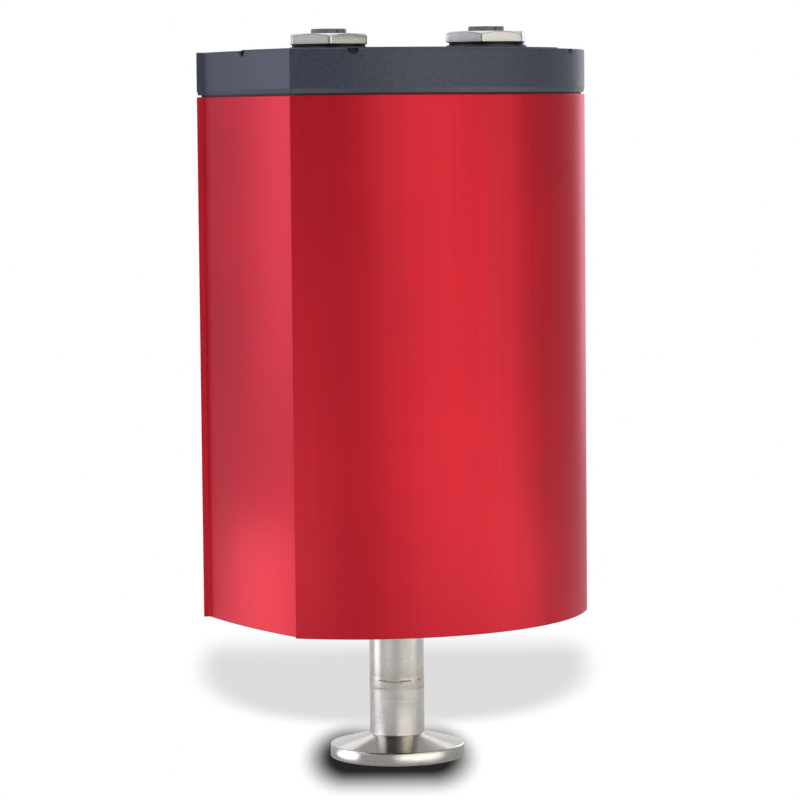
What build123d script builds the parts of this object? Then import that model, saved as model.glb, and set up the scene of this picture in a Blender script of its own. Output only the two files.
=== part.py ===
from build123d import *
from math import atan, cos, degrees, radians, sin, sqrt, tan
import os

# A capacitance diaphragm gauge for vacuum: a barrel-square extruded housing on a slim steel neck
# that ends in a small clamped vacuum flange, with two round plug sockets on its dark cap.
# Millimetres. +Z is up, the sealing face of the flange is Z = 0 and the flange's axis is X = Y = 0.
# The front of the housing faces -Y.

# Heights of the main joints, from the sealing face
shell_bottom = 32.0
shell_top = 147.6
gasket_thickness = 0.4
cap_bottom = shell_top + gasket_thickness
cap_top = 157.4

# Plan of the housing: two large arcs, front and rear, that overhang slightly bowed side panels
housing_width = 76.4
housing_depth = 76.0
arc_radius = 49.6
arc_centre = arc_radius - housing_depth / 2
lip_depth = 1.45
panel_bow = 1.25
panel_half_length = sqrt(arc_radius**2 - (housing_width / 2) ** 2) - arc_centre
panel_radius = (panel_half_length**2 + panel_bow**2) / (2 * panel_bow)
panel_middle = housing_width / 2 - lip_depth + panel_bow
edge_radius = 0.4

# Extruded shell
shell_wall = 2.2
port_x, port_y = 31.2, 19.2
port_radius = 3.8
port_hole_radius = 1.5
port_setback = 4.4
guide_y = 9.0
guide_slot = 1.8
guide_rib = 1.2
guide_length = 2.6

# Fits and screws
slip = 0.15
screw_radius = 1.5
screw_clearance = 1.7
head_radius = 2.8
head_land = 0.1
drive_radius = 1.0
drive_depth = 1.0

# Cap
cap_wall = 2.6
cap_roof = 3.0
spigot_depth = 3.0
spigot_wall = 1.6
cap_chamfer_height = 1.0
cap_chamfer_inset = 0.3
notch_radius = 1.2
notch_depth = 0.9
notch_angle = 34.0
label_thickness = 0.2
label_inset = 0.8

# Plug sockets: round metal shells with a low hexagon, which hold a keyed contact insert
socket_places = {"front_socket": (15.7, -14.5, 4.0), "rear_socket": (-9.6, 10.7, 0.0)}
boss_radius = 8.9
boss_height = 1.1
boss_edge = 0.3
socket_seal_radius = 8.2
socket_seal_height = 0.5
hex_across_flats = 17.0
hex_height = 2.4
hex_chamfer_height = 0.5
socket_barrel_radius = 7.0
socket_barrel_length = 13.0
socket_bore_radius = 5.5
socket_bore_depth = 9.0
insert_radius = 3.95
insert_collar_radius = 5.5
insert_proud = 1.1
insert_key_width = 1.1
insert_key_depth = 0.7
insert_key_length = 4.0
key_heading = -95.0
contact_circle = 2.6
contact_count = 4
contact_start = key_heading + 45.0
contact_radius = 0.55
contact_tail_radius = 0.4
contact_tail_length = 4.4
contact_well = 0.5
lock_nut_across_flats = 17.0
lock_nut_height = 2.0

# Flange: 30 mm clamped flange with a centring recess
flange_radius = 15.0
flange_rim = 2.8
flange_cone_angle = 15.0
flange_rim_edge = 0.4
flange_root_radius = 0.5
recess_radius = 8.6
recess_depth = 2.8
neck_radius = 6.1
neck_bore_radius = 5.1
stub_top = 16.8
weld_half_width = 1.4
weld_root = 0.2
weld_crown = 0.12

# Sensor housing: the neck widens into a cup that holds the ceramic capsule
cup_floor_bottom = 42.4
cup_floor = 3.0
cup_radius = 25.0
cup_wall = 2.8
cup_height = 20.0
cup_bore_radius = cup_radius - cup_wall
neck_flare = 3.0
baffle_thickness = 1.0
baffle_hole_radius = 0.8
baffle_hole_circle = 3.2
baffle_hole_count = 5

# Ceramic capsule, stacked on its seal
capsule_radius = 20.0
seal_outer, seal_inner = 13.0, 10.5
seal_thickness = 1.2
base_thickness = 5.0
base_port_radius = 2.5
base_chamber_radius = 16.5
base_chamber_depth = 0.4
diaphragm_thickness = 0.6
reference_thickness = 5.0
reference_gap_radius = 15.0
reference_gap = 0.2
getter_radius = 3.4
getter_height = 2.0
getter_well_radius = 4.0
getter_well_depth = 3.0
getter_lid_radius = 6.5
getter_lid_height = 1.4
pin_circle = 12.0
pin_radius = 0.5
pin_count = 3
spring_inner = 16.5
spring_thickness = 1.2
clamp_ring_inner = 16.0
clamp_ring_height = 3.0

# Sensor electronics on posts over the capsule
post_radius = 2.2
post_circle = 18.9
post_height = 5.0
board_thickness = 1.6
sensor_board_radius = 23.0
shield_size = 22.0
shield_height = 6.0
shield_wall = 0.5

# Bottom plate and what ties the sensor to it
plate_bottom = 33.2
plate_thickness = port_setback - (plate_bottom - shell_bottom)
neck_hole_radius = 7.4
grommet_lip_radius = 8.6
grommet_lip = 0.8
support_outer, support_inner = 20.0, 12.0
support_screw_circle = 16.0
support_screw_count = 3

# Main electronics
main_board_bottom, main_board_top = 76.0, 142.0
connector_board_top = 146.4
connector_board_size = (50.0, 44.0)
converter_size = (24.0, 11.0, 26.0)
processor_size = (12.0, 1.4, 12.0)
capacitor_radius = 4.0
capacitor_length = 11.0
plug_size = (16.0, 6.0, 6.0)
ribbon_width = 13.0
ribbon_thickness = 0.8
link_size = (22.0, 4.0, 5.0)

# Cut-outs that run clean through are made this much longer at each end
past = 1.0

# Small round parts that repeat are drawn with few sides, to keep the facets few
small_sides = 12
tiny_sides = 8
drive_sides = 6


def ring(outer, inner, height, z):
    """Flat ring on the main axis, from z up."""
    return Pos(0, 0, z) * extrude(Circle(outer) - Circle(inner), height)


def rod(radius, height, x, y, z):
    """Round upright rod from z up."""
    return Pos(x, y, z) * extrude(Circle(radius), height)


def bar(radius, height, x, y, z, sides=small_sides):
    """Upright bar of few sides from z up, with its flats at the radius."""
    return Pos(x, y, z) * extrude(RegularPolygon(radius, sides, major_radius=False), height)


def holes(radius, places, sides=small_sides):
    """Sections of the same few-sided hole at several places."""
    return [Pos(x, y) * RegularPolygon(radius, sides, major_radius=False) for x, y in places]


def slab(size, x, y, z):
    """Box centred on x and y, from z up."""
    return Pos(x, y, z + size[2] / 2) * Box(*size)


def turned(points):
    """Turned solid from the half section given as (radius, height) points."""
    section = make_face(Polyline(*[(r, 0, z) for r, z in points], close=True))
    return revolve(section, Axis.Z)


def corners():
    """The four places of the screw ports."""
    return [(sx * port_x, sy * port_y) for sx in (-1, 1) for sy in (-1, 1)]


def around(count, radius, start=0.0):
    """Places evenly spaced on a circle."""
    return [
        (radius * cos(radians(start + 360 * i / count)), radius * sin(radians(start + 360 * i / count)))
        for i in range(count)
    ]


def barrel_plan(inset=0.0):
    """Outline without lips: where the two large discs and the two panel discs all overlap."""
    plan = Pos(0, arc_centre) * Circle(arc_radius - inset)
    plan &= Pos(0, -arc_centre) * Circle(arc_radius - inset)
    panel_centre = panel_radius - panel_middle
    plan &= Pos(-panel_centre, 0) * Circle(panel_radius - inset)
    plan &= Pos(panel_centre, 0) * Circle(panel_radius - inset)
    return plan


def lipped_plan():
    """Outer outline: each large arc runs on past the panels and ends in a small square lip."""
    half = housing_width / 2
    foot = half - lip_depth
    edges = []
    for side in (-1, 1):
        y = side * panel_half_length
        edges.append(ThreePointArc((-half, y), (0, side * housing_depth / 2), (half, y)))
        edges += [Line((-half, y), (-foot, y)), Line((half, y), (foot, y))]
        ends = (side * foot, -panel_half_length), (side * foot, panel_half_length)
        edges.append(ThreePointArc(ends[0], (side * panel_middle, 0), ends[1]))
    plan = make_face(edges)
    return fillet([v for v in plan.vertices() if abs(v.X) > foot + slip], edge_radius)


def countersink(wide_radius, end_radius, land):
    """Cone of few sides that narrows downwards at 45 degrees from zero, under a straight land."""
    depth = wide_radius - end_radius
    head = bar(wide_radius, depth + land, 0, 0, -depth)
    return chamfer(head.faces().sort_by(Axis.Z)[0].edges(), depth)


def countersunk_screw(length, x, y, z, up=True):
    """Flat-head screw: its cone's wide end is at z and its shank runs down, or up when it faces down."""
    body = countersink(head_radius, screw_radius, head_land) + bar(screw_radius, length, 0, 0, -length)
    body -= bar(drive_radius, drive_depth, 0, 0, head_land - drive_depth, drive_sides)
    if not up:
        body = Rot(180, 0, 0) * body
    return Pos(x, y, z) * body


def screw_hole(length, x, y, z, up=True):
    """Clearance hole whose countersink's wide end is at z, to cut for the screw above."""
    cutter = countersink(head_radius + slip, screw_clearance, past)
    cutter += bar(screw_clearance, length, 0, 0, -length)
    if not up:
        cutter = Rot(180, 0, 0) * cutter
    return Pos(x, y, z) * cutter


def process_flange():
    """Turned flange, cone and stub; its top end is bevelled for the weld."""
    slope = tan(radians(flange_cone_angle))
    cone_top = flange_rim + (flange_radius - neck_radius) * slope
    body = turned(
        [
            (neck_bore_radius, recess_depth),
            (recess_radius, recess_depth),
            (recess_radius, 0),
            (flange_radius - weld_root, 0),
            (flange_radius, weld_root),
            (flange_radius, flange_rim - flange_rim_edge),
            (flange_radius - flange_rim_edge, flange_rim + flange_rim_edge * slope),
            (neck_radius + flange_root_radius, cone_top - flange_root_radius * slope),
            (neck_radius, cone_top + flange_root_radius),
            (neck_radius, stub_top - weld_half_width),
            (neck_bore_radius + weld_root, stub_top),
            (neck_bore_radius, stub_top),
        ]
    )
    return body


def weld_bead():
    """Bead that fills the groove between stub and neck and stands a little proud."""
    low, high = stub_top - weld_half_width, stub_top + weld_half_width
    return turned(
        [
            (neck_bore_radius + weld_root, stub_top),
            (neck_radius, low),
            (neck_radius + weld_crown, stub_top),
            (neck_radius, high),
        ]
    )


def sensor_housing():
    """Neck, flare and cup, turned from one piece; the cup's rim is bored for the clamp ring."""
    floor_top = cup_floor_bottom + cup_floor
    return turned(
        [
            (neck_bore_radius, stub_top),
            (neck_bore_radius + weld_root, stub_top),
            (neck_radius, stub_top + weld_half_width),
            (neck_radius, cup_floor_bottom - neck_flare),
            (neck_radius + neck_flare, cup_floor_bottom),
            (cup_radius, cup_floor_bottom),
            (cup_radius, cup_floor_bottom + cup_height),
            (cup_bore_radius, cup_floor_bottom + cup_height),
            (cup_bore_radius, floor_top),
            (neck_bore_radius, floor_top),
        ]
    )


def inlet_baffle():
    """Small plate across the neck whose ring of holes keeps dirt from flying to the diaphragm."""
    places = around(baffle_hole_count, baffle_hole_circle)
    plate = Circle(neck_bore_radius) - holes(baffle_hole_radius, places, tiny_sides)
    return Pos(0, 0, cup_floor_bottom) * extrude(plate, baffle_thickness)


def capsule():
    """Seal, base, diaphragm, reference body, getter and its lid, and the electrode pins, by name."""
    seal_z = cup_floor_bottom + cup_floor
    base_z = seal_z + seal_thickness
    diaphragm_z = base_z + base_thickness
    reference_z = diaphragm_z + diaphragm_thickness
    top_z = reference_z + reference_thickness
    base = ring(capsule_radius, base_port_radius, base_thickness, base_z)
    base -= rod(base_chamber_radius, past, 0, 0, diaphragm_z - base_chamber_depth)
    reference = rod(capsule_radius, reference_thickness, 0, 0, reference_z)
    reference -= rod(reference_gap_radius, reference_gap, 0, 0, reference_z)
    reference -= rod(getter_well_radius, past + getter_well_depth, 0, 0, top_z - getter_well_depth)
    pins = []
    for x, y in around(pin_count, pin_circle):
        pin_top = sensor_board_bottom() - slip
        pin_foot = reference_z + reference_gap
        pins.append(bar(pin_radius, pin_top - pin_foot, x, y, pin_foot, tiny_sides))
        reference -= bar(pin_radius, 2 * reference_thickness, x, y, reference_z, tiny_sides)
    return {
        "capsule_seal": ring(seal_outer, seal_inner, seal_thickness, seal_z),
        "sensor_base_ceramic": base,
        "diaphragm": rod(capsule_radius, diaphragm_thickness, 0, 0, diaphragm_z),
        "reference_ceramic": reference,
        "getter": rod(getter_radius, getter_height, 0, 0, top_z - getter_well_depth),
        "getter_lid": rod(getter_lid_radius, getter_lid_height, 0, 0, top_z),
        "electrode_pins": Compound(pins),
        "wave_spring": ring(capsule_radius, spring_inner, spring_thickness, top_z),
        "clamp_ring": ring(cup_bore_radius, clamp_ring_inner, clamp_ring_height, top_z + spring_thickness),
    }


def clamp_ring_top():
    """Height on which the posts of the sensor board stand."""
    stack = seal_thickness + base_thickness + diaphragm_thickness + reference_thickness + spring_thickness
    return cup_floor_bottom + cup_floor + stack + clamp_ring_height


def sensor_board_bottom():
    """Underside of the sensor board."""
    return clamp_ring_top() + post_height


def sensor_electronics():
    """Posts, round board and shield can over the capsule."""
    board_z = sensor_board_bottom()
    posts = [bar(post_radius, post_height, x, y, clamp_ring_top()) for x, y in around(3, post_circle, 30)]
    can = slab((shield_size, shield_size, shield_height), 0, 0, board_z + board_thickness)
    hollow = shield_size - 2 * shield_wall
    can -= slab((hollow, hollow, shield_height - shield_wall), 0, 0, board_z + board_thickness)
    return {
        "sensor_board_posts": Compound(posts),
        "sensor_board": rod(sensor_board_radius, board_thickness, 0, 0, board_z),
        "sensor_shield_can": can,
    }


def housing_shell():
    """Extruded shell: lipped outline, screw ports in the corners and a guide slot for the board."""
    height = shell_top - shell_bottom
    inside = barrel_plan(shell_wall)
    rib_reach = panel_middle - shell_wall - guide_length / 2
    for sx in (-1, 1):
        for sy in (-1, 1):
            rib_y = guide_y + sy * (guide_slot + guide_rib) / 2
            inside -= Pos(sx * rib_reach, rib_y) * Rectangle(guide_length, guide_rib)
    ports = [Pos(x, y) * Circle(port_radius) for x, y in corners()]
    wall = lipped_plan() - inside
    section = wall + [port & barrel_plan(edge_radius) for port in ports]
    section -= holes(port_hole_radius, corners())
    shell = Pos(0, 0, shell_bottom) * extrude(section, height)
    milled = extrude(barrel_plan(shell_wall), port_setback)
    return shell - Pos(0, 0, shell_bottom) * milled


def cap_gasket():
    """Thin flat gasket between shell and cap, set back from the outside."""
    section = barrel_plan(edge_radius + slip) - barrel_plan(shell_wall - slip)
    return Pos(0, 0, shell_top) * extrude(section, gasket_thickness)


def rim_notch(x, y, facing):
    """Half-round notch in the cap's top edge, cut from outside at the given heading."""
    cutter = Pos(notch_depth / 2, 0, 0) * Rot(0, 90, 0) * Cylinder(notch_radius, notch_depth * 2)
    return Pos(x, y, cap_top) * Rot(0, 0, facing) * Pos(-notch_depth / 2, 0, 0) * cutter


def rim_notches():
    """Two notches on each large arc and one in the middle of each side panel."""
    cutters = []
    for side, facing in ((-1, -90), (1, 90)):
        for turn in (-notch_angle, notch_angle):
            heading = radians(facing + turn)
            x = arc_radius * cos(heading)
            y = arc_radius * sin(heading) - side * arc_centre
            cutters.append(rim_notch(x, y, facing + turn))
    cutters.append(rim_notch(panel_middle, 0, 0))
    cutters.append(rim_notch(-panel_middle, 0, 180))
    return cutters


def top_cap():
    """Cast cap: chamfered skirt, screw pillars, a spigot into the shell and two round bosses."""
    chamfer_top = cap_bottom + cap_chamfer_height
    slant = degrees(atan(cap_chamfer_inset / cap_chamfer_height))
    outline = Pos(0, 0, chamfer_top) * lipped_plan()
    body = extrude(outline, cap_top - chamfer_top)
    body += extrude(outline, cap_chamfer_height, dir=(0, 0, -1), taper=slant)
    cavity = barrel_plan(cap_wall)
    body -= Pos(0, 0, cap_bottom - past) * extrude(cavity, cap_top - cap_roof - cap_bottom + past)
    for x, y in corners():
        pillar = Pos(x, y) * Circle(port_radius) & barrel_plan(edge_radius + cap_chamfer_inset)
        body += Pos(0, 0, cap_bottom) * extrude(pillar, cap_top - cap_bottom)
    body += spigot()
    for x, y, _ in socket_places.values():
        boss = rod(boss_radius, boss_height, x, y, cap_top)
        body += chamfer(boss.edges().sort_by(Axis.Z)[-1], boss_edge)
        body -= rod(socket_barrel_radius, 2 * cap_top, x, y, 0)
    for x, y in corners():
        body -= screw_hole(2 * cap_top, x, y, cap_top)
    for cutter in rim_notches():
        body -= cutter
    return body


def spigot():
    """Ring under the cap that centres it in the shell, broken where ports and guides are."""
    section = barrel_plan(shell_wall + slip) - barrel_plan(shell_wall + slip + spigot_wall)
    section -= [Pos(x, y) * Circle(port_radius + 2 * slip) for x, y in corners()]
    gap = guide_slot + 2 * guide_rib + 4 * slip
    section -= Pos(0, guide_y) * Rectangle(2 * housing_width, gap)
    return Pos(0, 0, shell_top - spigot_depth) * extrude(section, spigot_depth + 2 * gasket_thickness)


def cap_label():
    """Bare foil on the cap, clear of the sockets, the screws and two of the corners."""
    outline = barrel_plan(label_inset)
    outline -= [Pos(x, y) * Circle(boss_radius + slip) for x, y, _ in socket_places.values()]
    outline -= holes(head_radius + 3 * slip, corners())
    for side in (-1, 1):
        corner_x, corner_y = side * housing_width / 2, -side * panel_half_length
        outline -= Pos(corner_x, corner_y) * Circle(panel_half_length - notch_radius)
    return Pos(0, 0, cap_top) * extrude(outline, label_thickness)


def hexagon(across_flats, height, turn):
    """Hexagon with a corner on +X before the turn."""
    return extrude(Rot(0, 0, turn) * RegularPolygon(across_flats / sqrt(3), 6), height)


def socket(name, x, y, turn):
    """One plug socket: seal, shell, contact insert, contacts and the lock nut inside the cap."""
    seal_z = cap_top + boss_height
    hex_z = seal_z + socket_seal_height
    hex_top = hex_z + hex_height
    barrel_z = hex_top - socket_barrel_length
    floor_z = hex_top - socket_bore_depth
    shell = Pos(0, 0, hex_z) * hexagon(hex_across_flats, hex_height, turn)
    dome = turned(
        [
            (0, barrel_z),
            (2 * hex_across_flats, barrel_z),
            (2 * hex_across_flats, hex_top - hex_chamfer_height - hex_across_flats),
            (hex_across_flats / 2 + hex_chamfer_height, hex_top - hex_chamfer_height),
            (hex_across_flats / 2 - hex_chamfer_height, hex_top),
            (0, hex_top),
        ]
    )
    shell = shell & dome
    shell += rod(socket_barrel_radius - slip, hex_z - barrel_z, 0, 0, barrel_z)
    shell -= rod(socket_bore_radius, 2 * cap_top, 0, 0, barrel_z - past)
    insert = rod(insert_collar_radius, floor_z - barrel_z, 0, 0, barrel_z)
    insert += rod(insert_radius, hex_top + insert_proud - floor_z, 0, 0, floor_z)
    key = Box(2 * insert_key_depth, insert_key_width, 2 * insert_key_length)
    insert -= Rot(0, 0, key_heading) * Pos(insert_radius, 0, hex_top + insert_proud) * key
    contacts = []
    for cx, cy in around(contact_count, contact_circle, contact_start):
        well_z = hex_top + insert_proud - contact_well
        contact = bar(contact_radius, well_z - barrel_z, cx, cy, barrel_z, tiny_sides)
        tail_z = barrel_z - contact_tail_length
        contacts.append(contact + bar(contact_tail_radius, contact_tail_length, cx, cy, tail_z, tiny_sides))
        insert -= bar(contact_radius, 2 * cap_top, cx, cy, 0, tiny_sides)
    nut_z = cap_top - cap_roof - lock_nut_height
    nut = Pos(0, 0, nut_z) * hexagon(lock_nut_across_flats, lock_nut_height, turn)
    nut -= rod(socket_barrel_radius - slip, 2 * cap_top, 0, 0, 0)
    seal = ring(socket_seal_radius, socket_barrel_radius, socket_seal_height, seal_z)
    pieces = {"seal": seal, "shell": shell, "insert": insert, "contacts": Compound(contacts), "lock_nut": nut}
    return {f"{name}_{piece}": Pos(x, y, 0) * solid for piece, solid in pieces.items()}


def bottom_plate():
    """Plate that closes the shell and carries the sensor; it sits against the milled screw ports."""
    plan = barrel_plan(shell_wall + slip) - Circle(neck_hole_radius)
    plate = Pos(0, 0, plate_bottom) * extrude(plan, plate_thickness)
    for x, y in corners() + around(support_screw_count, support_screw_circle, 90):
        plate -= screw_hole(2 * plate_thickness, x, y, plate_bottom, up=False)
    return plate


def neck_grommet():
    """Rubber ring that seals the neck in the bottom plate."""
    body = turned(
        [
            (neck_radius, plate_bottom - grommet_lip),
            (grommet_lip_radius, plate_bottom - grommet_lip),
            (grommet_lip_radius, plate_bottom),
            (neck_hole_radius, plate_bottom),
            (neck_hole_radius, plate_bottom + plate_thickness),
            (neck_radius, plate_bottom + plate_thickness),
        ]
    )
    return body


def sensor_support():
    """Collar between the bottom plate and the floor of the cup, bored for its screws."""
    z = plate_bottom + plate_thickness
    body = ring(support_outer, support_inner, cup_floor_bottom - z, z)
    for x, y in around(support_screw_count, support_screw_circle, 90):
        body -= bar(screw_radius, 2 * cup_floor_bottom, x, y, 0)
    return body


def main_electronics():
    """Upright board in the guide slots with its parts, the flat board under the sockets, and links."""
    board_height = main_board_top - main_board_bottom
    guide_span = 2 * (panel_middle - shell_wall - 3 * slip) - panel_bow
    face_y = guide_y - board_thickness / 2
    converter_y, processor_y = face_y - converter_size[1] / 2, face_y - processor_size[1] / 2
    converter_z = main_board_bottom + board_height / 2
    pieces = {
        "main_board": slab((guide_span, board_thickness, board_height), 0, guide_y, main_board_bottom),
        "power_converter": slab(converter_size, -converter_size[0] / 2, converter_y, converter_z),
        "processor_chip": slab(processor_size, processor_size[0], processor_y, converter_z),
    }
    capacitors = []
    for i in range(3):
        x = (i - 1) * 3 * capacitor_radius
        upright = Pos(x, face_y, main_board_bottom + 4 * capacitor_radius)
        capacitors.append(upright * Rot(90, 0, 0) * bar(capacitor_radius, capacitor_length, 0, 0, 0))
    pieces["board_capacitors"] = Compound(capacitors)
    plug_y = guide_y + board_thickness / 2 + plug_size[1] / 2
    plug_z = main_board_bottom + 1
    pieces["sensor_plug"] = slab(plug_size, 0, plug_y, plug_z)
    ribbon_foot = sensor_board_bottom() + board_thickness
    ribbon_size = (ribbon_width, ribbon_thickness, plug_z - ribbon_foot)
    pieces["ribbon_cable"] = slab(ribbon_size, 0, plug_y, ribbon_foot)
    board = Rectangle(*connector_board_size)
    for x, y, _ in socket_places.values():
        tails = [(x + cx, y + cy) for cx, cy in around(contact_count, contact_circle, contact_start)]
        board -= holes(contact_tail_radius, tails, tiny_sides)
    board_z = connector_board_top - board_thickness
    pieces["connector_board"] = Pos(0, 0, board_z) * extrude(board, board_thickness)
    link_y = face_y - link_size[1] / 2
    pieces["board_link"] = slab(link_size, -link_size[0] / 2, link_y, board_z - link_size[2])
    return pieces


def screws():
    """Screws of the cap, of the bottom plate and of the sensor's collar, each kind as one group."""
    reach = cap_top - cap_bottom + spigot_depth
    support_reach = cup_floor_bottom - plate_bottom - slip
    return {
        "cap_screws": Compound([countersunk_screw(reach, x, y, cap_top - slip) for x, y in corners()]),
        "bottom_plate_screws": Compound(
            [countersunk_screw(port_setback * 2, x, y, plate_bottom + slip, up=False) for x, y in corners()]
        ),
        "sensor_screws": Compound(
            [
                countersunk_screw(support_reach, x, y, plate_bottom + slip, up=False)
                for x, y in around(support_screw_count, support_screw_circle, 90)
            ]
        ),
    }


def gauge():
    """Every piece of the gauge by its name."""
    pieces = {
        "process_flange": process_flange(),
        "weld_bead": weld_bead(),
        "sensor_housing": sensor_housing(),
        "inlet_baffle": inlet_baffle(),
        "housing_shell": housing_shell(),
        "cap_gasket": cap_gasket(),
        "top_cap": top_cap(),
        "cap_label": cap_label(),
        "bottom_plate": bottom_plate(),
        "neck_grommet": neck_grommet(),
        "sensor_support": sensor_support(),
    }
    pieces |= capsule() | sensor_electronics() | main_electronics() | screws()
    for name, (x, y, turn) in socket_places.items():
        pieces |= socket(name, x, y, turn)
    return pieces


os.makedirs("parts", exist_ok=True)
for node, solid in gauge().items():
    export_step(solid, f"parts/{node}.step")
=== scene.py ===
import math

import bmesh
import bpy
import numpy as np
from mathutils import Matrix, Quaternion, Vector
from mathutils.geometry import tessellate_polygon


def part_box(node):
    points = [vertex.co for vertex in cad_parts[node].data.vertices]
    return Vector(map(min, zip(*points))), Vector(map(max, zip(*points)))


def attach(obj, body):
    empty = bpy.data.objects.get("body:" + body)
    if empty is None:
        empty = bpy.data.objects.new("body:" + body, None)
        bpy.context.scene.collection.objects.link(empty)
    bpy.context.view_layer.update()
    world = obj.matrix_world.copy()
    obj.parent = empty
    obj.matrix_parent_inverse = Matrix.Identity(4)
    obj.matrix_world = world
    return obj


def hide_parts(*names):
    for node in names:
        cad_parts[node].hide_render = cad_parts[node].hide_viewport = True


bl_info = {
    "name": "Capacitance diaphragm gauge",
    "version": (1, 0, 0),
    "blender": (4, 5, 0),
    "location": "View3D > Sidebar > Gauge",
    "description": "Finished surfaces, finishes and stage of a capacitance diaphragm gauge",
    "category": "Add Mesh",
}

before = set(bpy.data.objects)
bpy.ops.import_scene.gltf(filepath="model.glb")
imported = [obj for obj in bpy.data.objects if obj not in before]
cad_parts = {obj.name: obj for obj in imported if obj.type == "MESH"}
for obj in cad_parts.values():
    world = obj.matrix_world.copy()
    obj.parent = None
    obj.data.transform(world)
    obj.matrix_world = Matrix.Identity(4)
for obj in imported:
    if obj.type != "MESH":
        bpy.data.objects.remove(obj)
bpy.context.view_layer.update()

MM = 0.001
TAU = math.tau
SOCKETS = ("front_socket", "rear_socket")
VIEW_AZIMUTH = math.radians(-31.865)

# Points round a screw hole, and round a boss, seal or rubber ring.
HOLE_STEPS = 40
ROUND_STEPS = 128


def linear(red, green, blue):
    """Scene-linear colour of a display colour given as 0 to 255."""
    parts = np.array([red, green, blue]) / 255
    return (*np.where(parts > 0.04045, ((parts + 0.055) / 1.055) ** 2.4, parts / 12.92).tolist(), 1.0)


def length(name, text, value):
    """A size property, given in millimetres."""
    return bpy.props.FloatProperty(
        name=name, description=text, default=value * MM, unit="LENGTH", precision=5
    )


def angle(name, text, degrees):
    """An angle property, given in degrees."""
    return bpy.props.FloatProperty(
        name=name, description=text, default=math.radians(degrees), subtype="ANGLE"
    )


def colour(name, text, red, green, blue):
    """A colour property, given as the display colour."""
    value = linear(red, green, blue)
    return bpy.props.FloatVectorProperty(
        name=name, description=text, default=value, size=4, min=0, max=1, subtype="COLOR"
    )


class HousingSizes(bpy.types.PropertyGroup):
    """Plan of the barrel-square housing, shared by shell, cap, gasket and plate."""

    arc_radius: length("Arc radius", "Radius of the front and rear arcs", 49.6)
    half_width: length("Half width", "Half of the width over the lips, before their tips are rounded", 38.2)
    half_depth: length("Half depth", "Half of the depth over the two arcs", 38.0)
    lip_depth: length("Lip depth", "How far each lip stands out past the end of the side panel", 1.45)
    lip_slant: angle("Lip slant", "Slope of the lips' inner sides", 22.0)
    lip_root: length("Lip root", "Width of the narrow facet at the foot of each lip", 0.35)
    root_turn: angle("Root turn", "Turn of that facet from the side panel", 12.0)
    panel_bow: length("Panel bow", "How far the middle of a side panel stands out past its ends", 1.25)
    tip_radius: length("Tip radius", "Rounding of the lips' tips", 0.25)
    edge: length("Edge", "Rounding of the shell's cut ends", 0.22)
    wall: length("Wall", "Wall of the shell", 2.2)
    port_x: length("Port X", "Distance of the screw ports from the middle, sideways", 31.2)
    port_y: length("Port Y", "Distance of the screw ports from the middle, front to rear", 19.2)
    port_radius: length("Port radius", "Outer radius of the screw ports", 3.8)
    port_bore: length("Port bore", "Radius of the screw ports' bores", 1.5)
    port_setback: length("Port setback", "How far the ports are milled back at the lower end", 4.4)
    guide_y: length("Guide Y", "Place of the board's guide slot", 9.0)
    guide_slot: length("Guide slot", "Width of the board's guide slot", 1.8)
    guide_rib: length("Guide rib", "Width of each rib beside the slot", 1.2)
    guide_length: length("Guide length", "Height of the ribs", 2.6)


class CapSizes(bpy.types.PropertyGroup):
    """Cap, foil and bosses."""

    wall: length("Wall", "Wall of the cap", 2.6)
    roof: length("Roof", "Thickness of the cap's roof", 3.0)
    slant_height: length("Slant height", "Height of the slanted lower edge", 1.0)
    slant_inset: length("Slant inset", "How far the lower edge is set in", 0.3)
    edge: length("Edge", "Rounding of the cap's upper edge", 0.3)
    notch_radius: length("Notch radius", "Radius of the half-round rim notches", 1.2)
    notch_depth: length("Notch depth", "Depth of the rim notches, which reach under the foil", 2.1)
    notch_angle: angle("Notch angle", "Turn of the arcs' notches from the middle of the arc", 34.0)
    slip: length("Slip", "Play between pieces that slide into each other", 0.15)
    foil_inset: length("Foil inset", "Distance of the foil from the cap's edge", 0.8)
    foil_hole: length("Foil hole", "Radius of the foil's holes over two of the screws", 3.3)
    foil_thickness: length("Foil thickness", "Thickness of the foil", 0.2)
    boss_radius: length("Boss radius", "Radius of the round bosses under the sockets", 8.9)
    boss_edge: length("Boss edge", "Rounding of the bosses", 0.5)
    barrel_hole: length("Barrel hole", "Radius of the holes for the sockets' barrels", 7.0)


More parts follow.
